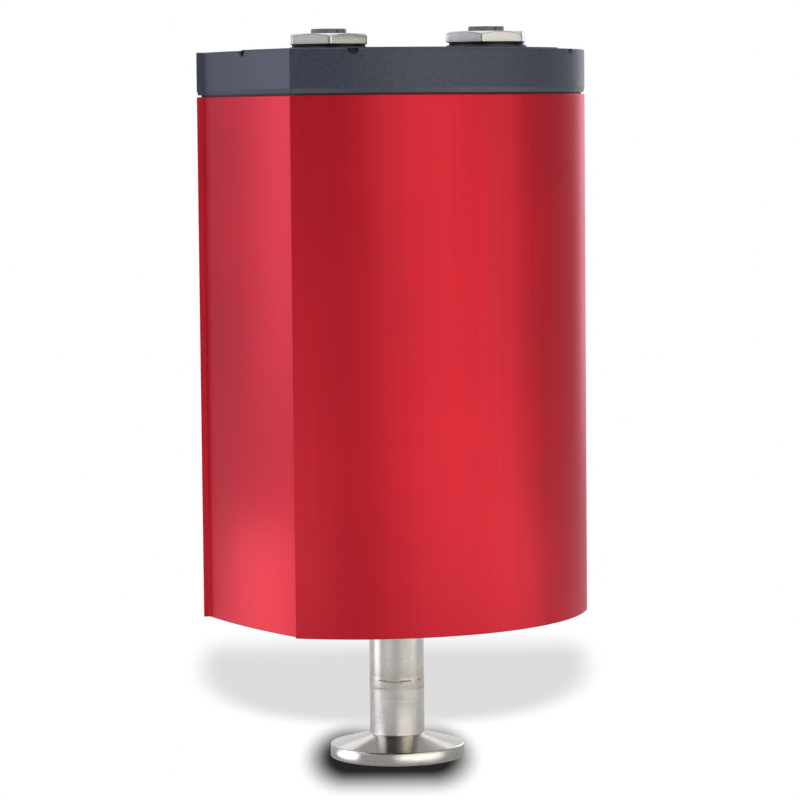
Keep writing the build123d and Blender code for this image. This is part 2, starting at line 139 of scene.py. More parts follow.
class SocketSizes(bpy.types.PropertyGroup):
    """Metal socket shells, their inserts and contacts."""

    across_flats: length("Across flats", "Width of the hexagon over its flats", 16.8)
    hex_height: length("Hexagon height", "Height of the hexagon", 2.4)
    corner_power: bpy.props.IntProperty(
        name="Corner power", description="Power of the smooth maximum that rounds the corners", default=60
    )
    edge: length("Edge", "Breaking of the hexagon's edges", 0.12)
    top_inset: length("Top inset", "How far the flat top stands in from the flats", 0.45)
    chamfer: length("Chamfer", "Height of the turned chamfer at the flats' middle", 0.12)
    chamfer_slope: bpy.props.FloatProperty(
        name="Chamfer slope", description="Fall of the chamfer towards the corners", default=0.45
    )
    seal_bore: length("Seal bore", "Inner radius of the seal", 7.0)
    seal_edge: length("Seal edge", "Rounding of the seal's outer edges", 0.2)
    barrel_radius: length("Barrel radius", "Radius of the threaded barrel through the cap", 6.85)
    barrel_chamfer: length("Barrel chamfer", "Chamfer of the barrel's lower end", 0.3)
    bore_radius: length("Bore radius", "Inner radius of the plug thread", 5.5)
    thread_pitch: length("Thread pitch", "Pitch of the plug thread", 1.0)
    thread_depth: length("Thread depth", "Depth of the plug thread", 0.42)
    bore_depth: length("Bore depth", "Depth of the bore round the insert", 9.0)
    insert_radius: length("Insert radius", "Radius of the contact insert", 3.95)
    insert_edge: length("Insert edge", "Rounding of the contact insert", 0.14)
    key_width: length("Key width", "Width of the insert's key notch", 1.5)
    key_depth: length("Key depth", "Depth of the insert's key notch", 0.7)
    key_heading: angle("Key heading", "Heading of the key notch", -99.0)
    contact_circle: length("Contact circle", "Radius of the circle on which the contacts stand", 2.6)
    contact_radius: length("Contact radius", "Radius of a contact", 0.55)
    contact_well: length("Contact well", "Width of the bevel round a contact", 0.12)
    contact_bore: length("Contact bore", "Radius of a contact's bore", 0.35)
    contact_depth: length("Contact depth", "Depth of a contact's bore", 5.0)
    tail_radius: length("Tail radius", "Radius of a contact's solder tail", 0.4)
    front_turn: angle("Front turn", "Turn of the front socket's hexagon", -9.0)
    rear_turn: angle("Rear turn", "Turn of the rear socket's hexagon", 1.0)


class NeckSizes(bpy.types.PropertyGroup):
    """Flange, neck and weld."""

    flange_radius: length("Flange radius", "Outer radius of the clamped flange", 15.0)
    flange_rim: length("Flange rim", "Height of the flange's rim", 2.8)
    cone_angle: angle("Cone angle", "Slope of the clamping cone", 15.0)
    recess_radius: length("Recess radius", "Radius of the centring recess", 8.6)
    recess_depth: length("Recess depth", "Depth of the centring recess", 2.8)
    neck_radius: length("Neck radius", "Outer radius of stub and neck", 6.1)
    bore_radius: length("Bore radius", "Inner radius of stub and neck", 5.1)
    root_gap: length("Root gap", "How far the weld's root stands off the bore", 0.2)
    cup_floor: length("Cup floor", "Height at which the sensor cup's floor begins", 42.4)
    cup_flare: length("Cup flare", "Slant between neck and cup", 3.0)
    cup_floor_thickness: length("Cup floor thickness", "Thickness of the cup's floor", 3.0)
    cup_wall: length("Cup wall", "Wall of the sensor cup", 2.8)
    plate_hole: length("Plate hole", "Radius of the bottom plate's hole and the rubber ring's groove", 7.4)
    weld_half_width: length("Weld half width", "Half of the weld bead's width", 1.4)
    weld_crown: length("Weld crown", "How far the weld bead stands out", 0.08)
    weld_ripples: bpy.props.IntProperty(
        name="Weld ripples", description="Number of ripples round the weld bead", default=46
    )


class ScrewSizes(bpy.types.PropertyGroup):
    """Countersunk screws of cap, bottom plate and sensor collar, and their holes."""

    head_radius: length("Head radius", "Radius of the heads", 2.8)
    head_edge: length("Head edge", "Breaking of the heads' edges", 0.12)
    shank_radius: length("Shank radius", "Radius of the shanks", 1.5)
    tip_chamfer: length("Tip chamfer", "Chamfer of the shanks' ends", 0.3)
    drive: length("Drive", "Half of the hexagon drive's width over its flats", 1.0)
    drive_depth: length("Drive depth", "Depth of the drive's walls", 0.95)
    sink_radius: length("Sink radius", "Radius of the countersinks", 2.95)
    sink_depth: length("Sink depth", "Depth of the countersinks", 1.25)
    hole_radius: length("Hole radius", "Radius of the clearance holes", 1.7)
    collar_circle: length("Collar circle", "Radius of the circle of the collar's screws", 16.0)
    plate_edge: length("Plate edge", "Rounding of the bottom plate", 0.2)


class GaugeColours(bpy.types.PropertyGroup):
    """Colours of the finishes."""

    housing: colour("Housing", "Red anodised housing", 196, 19, 39)
    cap: colour("Cap", "Dark speckled coating of the cap", 52, 57, 75)
    foil: colour("Foil", "Bare foil on the cap", 48, 51, 58)
    steel: colour("Steel", "Turned stainless steel", 205, 202, 198)
    brass: colour("Plated brass", "Nickel-plated brass of the sockets", 193, 192, 188)
    insert: colour("Insert", "Plastic of the contact inserts", 120, 124, 140)
    rubber: colour("Rubber", "Seals and gaskets", 24, 25, 28)
    gold: colour("Gold", "Gold-plated contacts", 214, 168, 86)
    plate: colour("Plate", "Bottom plate", 30, 31, 34)


class GaugeSettings(bpy.types.PropertyGroup):
    """All sizes and colours of the gauge."""

    housing: bpy.props.PointerProperty(type=HousingSizes)
    cap: bpy.props.PointerProperty(type=CapSizes)
    socket: bpy.props.PointerProperty(type=SocketSizes)
    neck: bpy.props.PointerProperty(type=NeckSizes)
    screw: bpy.props.PointerProperty(type=ScrewSizes)
    colours: bpy.props.PointerProperty(type=GaugeColours)


class Value:
    """A shader socket in an expression: each operator adds the Math node that works it out."""

    def __init__(self, shader, socket):
        self.shader, self.socket = shader, socket

    def math(self, operation, *terms):
        return self.shader.node("ShaderNodeMath", {"operation": operation}, dict(enumerate(terms)))

    def __add__(self, other):
        return self.math("ADD", self, other)

    def __radd__(self, other):
        return self.math("ADD", other, self)

    def __sub__(self, other):
        return self.math("SUBTRACT", self, other)

    def __rsub__(self, other):
        return self.math("SUBTRACT", other, self)

    def __mul__(self, other):
        return self.math("MULTIPLY", self, other)

    def __rmul__(self, other):
        return self.math("MULTIPLY", other, self)

    def __truediv__(self, other):
        return self.math("DIVIDE", self, other)

    def __pow__(self, other):
        return self.math("POWER", self, other)


class Shader:
    """Nodes of a material or world: node() adds any node, the other methods name the ones used most."""

    def __init__(self, name, kind="materials"):
        self.owner = getattr(bpy.data, kind).new(name)
        self.owner.use_nodes = True
        self.tree = self.owner.node_tree
        self.tree.nodes.clear()
        self.object = self.node("ShaderNodeTexCoord", output="Object")

    def node(self, kind, settings=None, inputs=None, output=0):
        """Node of that type with its settings, and its inputs as values or links; returns one output."""
        node = self.tree.nodes.new(kind)
        for key, value in (settings or {}).items():
            if key == "stops":
                ramp = node.color_ramp.elements
                while len(ramp) < len(value):
                    ramp.new(1.0)
                for stop, (place, shade) in zip(ramp, value):
                    stop.position, stop.color = place, shade
            else:
                setattr(node, key, value)
        for key, value in (inputs or {}).items():
            if isinstance(value, Value):
                self.tree.links.new(value.socket, node.inputs[key])
            else:
                node.inputs[key].default_value = value
        return Value(self, node.outputs[output]) if len(node.outputs) else None

    def stretched(self, scale):
        """Object coordinates multiplied per axis, for grain that runs along an axis."""
        return self.node("ShaderNodeMapping", None, {"Vector": self.object, "Scale": scale})

    def noise(self, scale, detail, roughness, vector=None):
        """Fractal noise from 0 to 1."""
        inputs = {"Scale": scale, "Detail": detail, "Roughness": roughness}
        return self.node("ShaderNodeTexNoise", None, {"Vector": vector or self.object, **inputs})

    def between(self, value, low, high, start=0.0, end=1.0):
        """Value carried from low..high to start..end, smoothly and clamped."""
        inputs = {0: value, 1: low, 2: high, 3: start, 4: end}
        return self.node("ShaderNodeMapRange", {"interpolation_type": "SMOOTHSTEP"}, inputs)

    def mix(self, factor, first, second):
        """Colour between two colours."""
        return self.node("ShaderNodeMix", {"data_type": "RGBA"}, {0: factor, 6: first, 7: second}, 2)

    def toned(self, tone, colour_value, dark, light, low=0.3, high=0.7):
        """Colour times dark to colour times light, as the tone goes from low to high."""
        ends = shaded(colour_value, dark), shaded(colour_value, light)
        return self.mix(self.between(tone, low, high), *ends)

    def axes(self):
        """Object coordinates as three numbers."""
        split = self.node("ShaderNodeSeparateXYZ", None, {0: self.object}).socket.node
        return [Value(self, output) for output in split.outputs]

    def around(self):
        """Radius and heading of a point from the axis through the origin, and its height."""
        x, y, z = self.axes()
        return (x * x + y * y) ** 0.5, y.math("ARCTAN2", y, x), z

    def joined(self, x, y, z):
        """Vector of three numbers."""
        return self.node("ShaderNodeCombineXYZ", None, {0: x, 1: y, 2: z})

    def bump(self, height, distance):
        """Normal disturbed by a height, in metres of full height."""
        return self.node("ShaderNodeBump", None, {"Height": height, "Distance": distance})

    def surface(self, **sockets):
        """Principled shader into the output; the keys are socket names with _ for spaces."""
        inputs = {key.replace("_", " "): value for key, value in sockets.items()}
        shader = self.node("ShaderNodeBsdfPrincipled", None, inputs)
        self.node("ShaderNodeOutputMaterial", None, {"Surface": shader})
        return self.owner


def shaded(colour_value, factor):
    """Colour made darker or lighter by a factor."""
    return (*[min(1.0, part * factor) for part in colour_value[:3]], 1.0)


def anodised_red(colours):
    """Satin anodised aluminium: fine grain, faint marks of the extrusion along Z and slow drift."""
    shader = Shader("anodised_red")
    grain = shader.noise(3200, 3, 0.65)
    streaks = shader.noise(900, 2, 0.5, shader.stretched((1, 1, 0.012)))
    drift = shader.noise(28, 2, 0.5)
    tone = grain * 0.45 + streaks * 0.25 + drift * 0.3
    return shader.surface(
        Base_Color=shader.toned(tone, colours.housing, 0.86, 1.12),
        Metallic=0.72,
        Roughness=shader.between(tone, 0.3, 0.7, 0.36, 0.44),
        Specular_Tint=(1.0, 0.5, 0.62, 1.0),
        Coat_Weight=0.24,
        Coat_Roughness=0.3,
        Normal=shader.bump(grain, 0.012 * MM),
    )


def speckled_coating(colours):
    """Fine structured powder coating: two sizes of speckle in tone and relief."""
    shader = Shader("speckled_coating")
    fine = shader.noise(5200, 2, 0.6)
    coarse = shader.noise(1500, 3, 0.6)
    tone = fine * 0.5 + coarse * 0.5
    relief = fine * 0.4 + coarse * 0.6
    return shader.surface(
        Base_Color=shader.toned(tone, colours.cap, 0.72, 1.35, 0.36, 0.64),
        Roughness=shader.between(tone, 0.3, 0.7, 0.36, 0.48),
        Normal=shader.bump(relief, 0.035 * MM),
    )


def plain_plastic(name, tone_colour, rough=0.4, grain_size=2400.0, relief=0.012):
    """Moulded plastic, rubber or lacquer: soft mottling and a fine grain."""
    shader = Shader(name)
    grain = shader.noise(grain_size, 2, 0.55)
    cloud = shader.noise(grain_size / 14, 2, 0.5)
    tone = grain * 0.5 + cloud * 0.5
    return shader.surface(
        Base_Color=shader.toned(tone, tone_colour, 0.84, 1.18, 0.32, 0.68),
        Roughness=shader.between(tone, 0.3, 0.7, rough - 0.05, rough + 0.07),
        Normal=shader.bump(grain, relief * MM),
    )


def turned_metal(name, metal_colour, rough):
    """Turned metal: lines run round the axis, as noise of radius and height."""
    shader = Shader(name)
    radius, turn, z = shader.around()
    lines = shader.noise(9000, 2, 0.6, shader.joined(radius, turn * 0.00002, z))
    smudge = shader.noise(160, 3, 0.55)
    tone = lines * 0.55 + smudge * 0.45
    return shader.surface(
        Base_Color=shader.toned(tone, metal_colour, 0.88, 1.06),
        Metallic=1.0,
        Roughness=shader.between(tone, 0.3, 0.7, rough * 0.8, rough * 1.25),
        Normal=shader.bump(lines, 0.004 * MM),
    )


def grained_metal(name, metal_colour, rough, grain_size=3000.0, relief=0.01):
    """Cast, sheet or plated metal: fine grain in tone, gloss and relief."""
    shader = Shader(name)
    grain = shader.noise(grain_size, 3, 0.6)
    cloud = shader.noise(grain_size / 18, 2, 0.5)
    tone = grain * 0.6 + cloud * 0.4
    return shader.surface(
        Base_Color=shader.toned(tone, metal_colour, 0.84, 1.1, 0.32, 0.68),
        Metallic=1.0,
        Roughness=shader.between(tone, 0.3, 0.7, rough * 0.85, rough * 1.2),
        Normal=shader.bump(grain, relief * MM),
    )


def circuit_green():
    """Circuit board: green lacquer over faint straight tracks."""
    shader = Shader("circuit_board")
    x, _, z = shader.axes()
    tracks = shader.noise(700, 0, 0.5, shader.joined(x, 0.0, z * 0.1))
    grain = shader.noise(2600, 2, 0.5)
    mask = shader.between(tracks, 0.52, 0.56)
    return shader.surface(
        Base_Color=shader.mix(mask, linear(16, 74, 44), linear(34, 104, 62)),
        Roughness=shader.between(grain, 0.3, 0.7, 0.3, 0.45),
        Normal=shader.bump(mask, 0.03 * MM),
    )


def arc(centre, radius, angles):
    """Points centre + radius (cos a, sin a) for an array of angles."""
    angles = np.asarray(angles, float)
    return np.stack([centre[0] + radius * np.cos(angles), centre[1] + radius * np.sin(angles)], axis=1)


def circle(centre, radius, count):
    """Closed circle of evenly spaced points, anticlockwise."""
    return arc(centre, radius, np.arange(count) * TAU / count)


def line(start, end, count):
    """Evenly spaced points of a straight line, both ends included."""
    steps = np.linspace(0, 1, count)[:, None]
    return np.asarray(start, float) * (1 - steps) + np.asarray(end, float) * steps


def curve(start, corner, end, steps):
    """Quadratic curve (1-t)^2 start + 2t(1-t) corner + t^2 end."""
    t = np.linspace(0, 1, steps + 1)[:, None]
    return (1 - t) ** 2 * start + 2 * t * (1 - t) * corner + t**2 * end


def circles_meet(first, first_radius, second, second_radius):
    """The two points where two circles cross, from the triangle of their centres.

    The first lies to the right of the way from the first centre to the second."""
    first, second = np.asarray(first, float), np.asarray(second, float)
    apart = second - first
    distance = np.hypot(*apart)
    along = (distance**2 + first_radius**2 - second_radius**2) / (2 * distance)
    across = math.sqrt(first_radius**2 - along**2)
    foot = first + apart * along / distance
    side = np.array([-apart[1], apart[0]]) * across / distance
    return foot - side, foot + side


def heading(point, centre):
    """Angle at which a point stands from a centre."""
    return math.atan2(point[1] - centre[1], point[0] - centre[0])


def inset(loop, distance):
    """Closed loop with each side moved to its left by distance, its corners kept as mitres."""
    before = loop - np.roll(loop, 1, axis=0)
    after = np.roll(loop, -1, axis=0) - loop
    before = np.stack([-before[:, 1], before[:, 0]], 1) / np.hypot(*before.T)[:, None]
    after = np.stack([-after[:, 1], after[:, 0]], 1) / np.hypot(*after.T)[:, None]
    mitre = (before + after) / (1 + np.sum(before * after, axis=1))[:, None]
    return loop + mitre * distance


def at(loop, height):
    """Plan points lifted to a height, which may be one number or one for each point."""
    return np.column_stack([loop, np.broadcast_to(height, len(loop))])


def mirrored(path, axis):
    """Path followed by its mirror image in reverse, without the shared ends."""
    flip = np.ones(2)
    flip[axis] = -1
    return np.concatenate([path, (path * flip)[::-1][1:]])


def panel_circle(h):
    """Centre and radius of the right side panel's shallow arc, and the half length that it spans."""
    arc_centre = h.arc_radius - h.half_depth
    half_length = math.sqrt(h.arc_radius**2 - h.half_width**2) - arc_centre
    radius = (half_length**2 + h.panel_bow**2) / (2 * h.panel_bow)
    middle = h.half_width - h.lip_depth + h.panel_bow
    return (middle - radius, 0.0), radius, half_length


def with_extra(steps, extra):
    """Steps with extra ones let in; steps that lie close to an extra one are left out."""
    gap = 0.4 * np.min(np.diff(steps))
    spread = np.abs(steps[:, None] - extra[None, :]).min(axis=1)
    inside = (steps > extra.min()) & (steps < extra.max())
    return np.sort(np.concatenate([steps[(spread > gap) & ~inside], extra]))


def lipped_outline(h, c=None, arc_steps=72, panel_steps=24):
    """Outer outline, anticlockwise from the middle of the front.

    A quarter is the large arc, the rounded tip of its lip, the step in to the panel and half of the
    panel's shallow arc; the rest is its mirror images. With cap sizes, extra points fall on the notches."""
    arc_centre = (0.0, h.arc_radius - h.half_depth)
    panel_centre, panel_radius, half_length = panel_circle(h)
    tip_y = -half_length - h.tip_radius
    tip_x = math.sqrt((h.arc_radius - h.tip_radius) ** 2 - (arc_centre[1] - tip_y) ** 2)
    tip = (tip_x, tip_y)
    arc_end = heading(tip, arc_centre)
    arc_angles = np.linspace(-math.pi / 2, arc_end, arc_steps)
    foot_y = -half_length + math.tan(h.lip_slant) * (h.lip_depth - h.tip_radius)
    root_y = foot_y + h.lip_root
    panel_angles = np.linspace(math.asin((root_y + 0.25 * h.lip_root) / panel_radius), 0, panel_steps)
    root = arc(panel_centre, panel_radius, [math.asin(root_y / panel_radius)])
    facet = root + h.lip_root * np.array([math.sin(h.root_turn), -math.cos(h.root_turn)])
    if c:
        notch = c.notch_radius * np.cos(np.linspace(math.pi, 0, 25))
        front_half = notch[: len(notch) // 2 + 1]
        arc_angles = with_extra(arc_angles, c.notch_angle - math.pi / 2 + np.arcsin(notch / h.arc_radius))
        panel_angles = with_extra(panel_angles, np.arcsin(front_half / panel_radius))
    quarter = np.concatenate(
        [
            arc(arc_centre, h.arc_radius, arc_angles)[:-1],
            arc(tip, h.tip_radius, np.linspace(arc_end, math.pi / 2 - h.lip_slant, 12)),
            facet,
            root,
            arc(panel_centre, panel_radius, panel_angles),
        ]
    )
    return mirrored(mirrored(quarter, 1), 0)[:-1]


def barrel_outline(h, set_in, lobe_radius=0.0, ribs=False, steps=60):
    """Inner outline at a distance from the outside, anticlockwise from the middle of the front.

    A quarter is the large arc and the panel's arc up to where they meet, or with a lobe radius up to
    the circle round the screw port, which it follows on the inside. Ribs beside the guide slot stand
    in from both panels."""
    arc_centre = (0.0, h.arc_radius - h.half_depth)
    panel_centre, panel_radius, _ = panel_circle(h)
    large, shallow = h.arc_radius - set_in, panel_radius - set_in
    if lobe_radius:
        port = (h.port_x, -h.port_y)
        first = circles_meet(arc_centre, large, port, lobe_radius)[0]
        last = circles_meet(panel_centre, shallow, port, lobe_radius)[1]
        start, end = heading(first, port), heading(last, port) - TAU
        lobe = arc(port, lobe_radius, np.linspace(start, end, 36))[1:-1]
    else:
        first = last = circles_meet(arc_centre, large, panel_centre, shallow)[1]
        lobe = np.zeros((0, 2))
    front = arc(arc_centre, large, np.linspace(-math.pi / 2, heading(first, arc_centre), steps))
    side_angles = np.linspace(heading(last, panel_centre), 0, steps // 2)
    side = arc(panel_centre, shallow, side_angles)
    side = side if lobe_radius else side[1:]
    quarter = np.concatenate([front, lobe, side])
    half = mirrored(quarter, 1)
    if ribs:
        half = with_ribs(h, half, panel_centre, shallow)
    return mirrored(half, 0)[:-1]


def with_ribs(h, half, panel_centre, shallow):
    """Right half of the inner outline with the two ribs of the guide slot let in."""
    edges = h.guide_slot / 2, h.guide_slot / 2 + h.guide_rib
    tip_x = panel_centre[0] + shallow - h.guide_length
    path = []
    for low, high in ((-edges[1], -edges[0]), (edges[0], edges[1])):
        for y, inner in ((low, False), (low, True), (high, True), (high, False)):
            y += h.guide_y
            x = tip_x if inner else panel_centre[0] + math.sqrt(shallow**2 - y**2)
            path.append((x, y))
    middle, gap = len(half) // 2, 0.2 * MM
    front, rear = half[:middle], half[middle:]
    before = front[(front[:, 0] <= tip_x) | (front[:, 1] <= path[0][1] - gap)]
    after = rear[rear[:, 1] > path[-1][1] + gap]
    return np.concatenate([before, path, after])


class Surface:
    """Collects grids and flat fills of one piece and joins them into a closed mesh."""

    def __init__(self):
        self.points, self.faces, self.count = [], [], 0

    def add(self, points, faces):
        """Block of points with its faces."""
        self.points.append(np.asarray(points, float))
        self.faces += (np.asarray(faces) + self.count).tolist()
        self.count += len(points)

    def grid(self, rows):
        """Quads between rows of equal length, whose last column joins the first."""
        rows = np.asarray(rows, float)
        count, width = rows.shape[:2]
        index = np.arange(count * width).reshape(count, width)
        right = np.roll(index, -1, axis=1)
        quads = np.stack([index[:-1], right[:-1], right[1:], index[1:]], axis=-1)
        self.add(rows.reshape(-1, 3), quads.reshape(-1, 4))
        return self

    def flat(self, outer, holes, height):
        """Flat fill between an outer loop and holes at one height."""
        loops = [at(loop[:, :2], height) for loop in (outer, *holes)]
        triangles = tessellate_polygon([[Vector(p) for p in loop] for loop in loops])
        self.add(np.concatenate(loops), triangles)

    def piece(self, name, material, slot, node, smooth=34.0):
        """Mesh object of the collected surface: seams merged, faces outwards, sharp past an angle."""
        mesh = bpy.data.meshes.new(name)
        mesh.from_pydata(np.concatenate(self.points), [], self.faces)
        work = bmesh.new()
        work.from_mesh(mesh)
        bmesh.ops.remove_doubles(work, verts=work.verts, dist=0.0005 * MM)
        bmesh.ops.dissolve_degenerate(work, edges=work.edges, dist=0.0002 * MM)
        bmesh.ops.recalc_face_normals(work, faces=work.faces)
        work.to_mesh(mesh)
        work.free()
        mesh.shade_smooth()
        mesh.set_sharp_from_angle(angle=math.radians(smooth))
        mesh.materials.append(material)
        piece = bpy.data.objects.new(name, mesh)
        bpy.context.scene.collection.objects.link(piece)
        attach(piece, "root")
        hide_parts(node)


def rounding(edge, steps=5):
    """Quarter-round edge as (inset, drop) pairs, from the wall to the flat, with a short flat after it."""
    turns = np.linspace(0, math.pi / 2, steps + 1)
    pairs = [(edge * (1 - math.cos(t)), edge * (1 - math.sin(t))) for t in turns]
    return [(0.0, edge * 1.4), *pairs, (edge * 1.35, 0.0)]


def turned_rows(profile, count, centre=(0.0, 0.0)):
    """Rows of a turned surface: each (radius, height) of the closed profile carried round the axis."""
    turns = np.arange(count) * TAU / count
    profile = np.asarray(profile, float)
    x = centre[0] + profile[:, :1] * np.cos(turns)
    y = centre[1] + profile[:, :1] * np.sin(turns)
    z = np.broadcast_to(profile[:, 1:], x.shape)
    return np.stack([x, y, z], axis=-1)


def softened(corners, radius, steps=4):
    """Closed profile with each corner cut to a short curve of the given reach."""
    corners = np.asarray(corners, float)
    reach = np.broadcast_to(radius, len(corners))
    path = []
    for before, corner, after, back in zip(np.roll(corners, 1, 0), corners, np.roll(corners, -1, 0), reach):
        if not back:
            path.append(corner[None])
            continue
        start = corner + (before - corner) * min(0.45, back / np.hypot(*(before - corner)))
        end = corner + (after - corner) * min(0.45, back / np.hypot(*(after - corner)))
        path.append(curve(start, corner, end, steps))
    return np.concatenate(path)


def closed_rows(rows):
    """Rows with the first repeated at the end, so that the surface closes on itself."""
    return np.concatenate([rows, rows[:1]])


def turned_piece(name, profile, count, material, slot, node, centre=(0.0, 0.0), smooth=34.0):
    """Piece whose closed profile is carried round an axis."""
    rows = closed_rows(turned_rows(profile, count, centre))
    Surface().grid(rows).piece(name, material, slot, node, smooth)


def heights(node):
    """Lower and upper end of a solid of the frame."""
    return [corner.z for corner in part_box(node)]


def countersunk(surface, centre, face, end, screw):
    """Countersink in a face and its clearance hole, down or up to end."""
    sense = 1 if end < face else -1
    rows = [
        at(circle(centre, screw.sink_radius, HOLE_STEPS), face),
        at(circle(centre, screw.hole_radius, HOLE_STEPS), face - sense * screw.sink_depth),
        at(circle(centre, screw.hole_radius, HOLE_STEPS), end),
    ]
    surface.grid(rows)


def screw_body(surface, centre, face, tip, screw):
    """Countersunk screw from its face to its tip.

    The drive's radius at heading a is drive / max cos(a - k 60 degrees), cut a little at its corners."""
    sense = 1 if tip < face else -1
    neck = face - sense * (screw.head_radius - screw.shank_radius)
    turns = np.arange(HOLE_STEPS) * TAU / HOLE_STEPS
    hexagon = screw.drive / np.maximum.reduce([np.cos(turns - k * TAU / 6) for k in range(6)])
    recess = circle((0, 0), 1.0, HOLE_STEPS) * np.minimum(hexagon, screw.drive * 1.2)[:, None]
    rows = [
        at(recess * share + np.asarray(centre), face - sense * depth)
        for share, depth in (
            (0.0, screw.drive_depth + 0.3 * MM),
            (0.9, screw.drive_depth + 0.05 * MM),
            (1.0, screw.drive_depth),
            (1.0, 0.08 * MM),
            (1.1, 0.0),
        )
    ]
    rows += [
        at(circle(centre, radius, HOLE_STEPS), height)
        for radius, height in (
            (screw.head_radius - 2 * screw.head_edge, face),
            (screw.head_radius - screw.head_edge, face),
            (screw.head_radius, face - sense * screw.head_edge),
            (screw.shank_radius, neck),
            (screw.shank_radius, tip + sense * screw.tip_chamfer),
            (screw.shank_radius - screw.tip_chamfer, tip),
            (0.0, tip),
        )
    ]
    surface.grid(rows)


def ports(h):
    """The four places of the screw ports."""
    return [(sx * h.port_x, sy * h.port_y) for sx in (-1, 1) for sy in (-1, 1)]


def collar_screws(screw):
    """The three places of the screws that hold the sensor's collar."""
    return arc((0, 0), screw.collar_circle, np.radians([90, 210, 330]))


def socket_axis(name):
    """Axis of a socket in plan, read from the frame."""
    low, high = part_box(f"{name}_insert")
    return (low.x + high.x) / 2, (low.y + high.y) / 2


class GAUGE_OT_housing(bpy.types.Operator):
    """Extruded red shell with lips, screw ports and guide ribs"""

    bl_idname = "gauge.housing"
    bl_label = "Housing shell"

    def execute(self, context):
        gauge = context.scene.gauge
        h = gauge.housing
        low, high = heights("housing_shell")
        ledge = low + h.port_setback
        outer = lipped_outline(h)
        plain = barrel_outline(h, h.wall)
        lobed = barrel_outline(h, h.wall, h.port_radius, ribs=True)
        shell = Surface()
        lower = [at(inset(outer, step), low + drop) for step, drop in rounding(h.edge)[::-1]]
        upper = [at(inset(outer, step), high - drop) for step, drop in rounding(h.edge)]
        shell.grid(lower + upper)
        shell.flat(lower[0], [plain], low)
        shell.grid([at(plain, low), at(plain, ledge)])
        bores = [circle(port, h.port_bore, 32) for port in ports(h)]
        shell.flat(plain, [lobed, *bores], ledge)
        shell.grid([at(lobed, ledge), at(lobed, high)])
        for bore in bores:
            shell.grid([at(bore, ledge), at(bore, high)])
        shell.flat(upper[-1], [lobed, *bores], high)
        shell.piece("housing", anodised_red(gauge.colours), "anodised_housing", "housing_shell")
        return {"FINISHED"}


class GAUGE_OT_cap(bpy.types.Operator):
    """Dark cap with its slanted lower edge, rim notches, bosses and screw pillars"""

    bl_idname = "gauge.cap"
    bl_label = "Cap"

    def execute(self, context):
        gauge = context.scene.gauge
        h, c, screw = gauge.housing, gauge.cap, gauge.screw
        bottom, top = heights("cap_gasket")[1], heights("cap_label")[0]
        roof = top - c.roof
        cap = Surface()
        foot, rim = self.sides(cap, h, c, bottom, top)
        axes = [socket_axis(name) for name in SOCKETS]
        sinks = [circle(place, screw.sink_radius, HOLE_STEPS) for place in ports(h)]
        holes = [circle(place, screw.hole_radius, HOLE_STEPS) for place in ports(h)]
        cap.flat(rim, [circle(place, c.boss_radius, ROUND_STEPS) for place in axes] + sinks, top)
        for place in axes:
            self.boss(cap, c, place, top, roof)
        for place in ports(h):
            countersunk(cap, place, top, bottom, screw)
        cavity = barrel_outline(h, c.wall, h.port_radius)
        cap.grid([at(cavity, bottom), at(cavity, roof)])
        cap.flat(cavity, [circle(place, c.barrel_hole, ROUND_STEPS) for place in axes], roof)
        cap.flat(foot, [cavity, *holes], bottom)
        cap.piece("cap", speckled_coating(gauge.colours), "cap_coating", "top_cap")
        return {"FINISHED"}

    def sides(self, cap, h, c, bottom, top):
        """Outer side from the slanted lower edge to the rim and the notches; returns its two ends."""
        outer = lipped_outline(h, c)
        floor, notched = notch_floor(outer, h, c, top)
        (_, first_drop), *edge_steps = rounding(c.edge)
        start = bottom + c.slant_height * 1.3
        rows = [
            at(inset(outer, c.slant_inset), bottom),
            at(inset(outer, c.slant_inset * 0.1), bottom + c.slant_height * 0.9),
            at(outer, bottom + c.slant_height * 1.1),
        ]
        for share in np.linspace(0, 1, 8):
            rows.append(at(outer, start + (floor - first_drop - start) * share))
        rows += [at(inset(outer, step), floor - drop) for step, drop in edge_steps]
        cap.grid(rows)
        back = notch_back(outer, h, c, notched, edge_steps[-1][0])
        cap.grid([rows[-1], at(back, floor), at(back, top)])
        return rows[0], back

    def boss(self, cap, c, place, top, roof):
        """Round boss with its rounded edge, and the hole through it for the socket's barrel."""
        boss_top = heights("top_cap")[1]
        profile = [(c.boss_radius, top)]
        profile += [(c.boss_radius - step, boss_top - drop) for step, drop in rounding(c.boss_edge)]
        profile += [(c.barrel_hole, boss_top), (c.barrel_hole, roof)]
        cap.grid(turned_rows(profile, ROUND_STEPS, place))


def notch_places(h, c):
    """Middle and inward heading of each rim notch, on the outer outline."""
    arc_centre = h.arc_radius - h.half_depth
    middle = h.half_width - h.lip_depth + h.panel_bow
    places = [((side * middle, 0.0), (-side, 0.0)) for side in (-1, 1)]
    for side in (-1, 1):
        for turn in (-c.notch_angle, c.notch_angle):
            x, y = math.sin(turn), side * math.cos(turn)
            places.append(((h.arc_radius * x, h.arc_radius * y - side * arc_centre), (-x, -y)))
    return np.array(places)


def notch_floor(outer, h, c, top):
    """Height of the rim at each point, the half circle top - sqrt(r^2 - s^2) in a notch and else top,
    and whether the point is in a notch."""
    floor, notched = np.full(len(outer), top), np.zeros(len(outer), bool)
    for place, inward in notch_places(h, c):
        away = outer - place
        along = away @ np.array([-inward[1], inward[0]])
        near = (np.abs(along) < c.notch_radius) & (np.hypot(*away.T) < 2 * c.notch_radius)
        floor[near] = top - np.sqrt(c.notch_radius**2 - along[near] ** 2)
        notched |= near
    return floor, notched


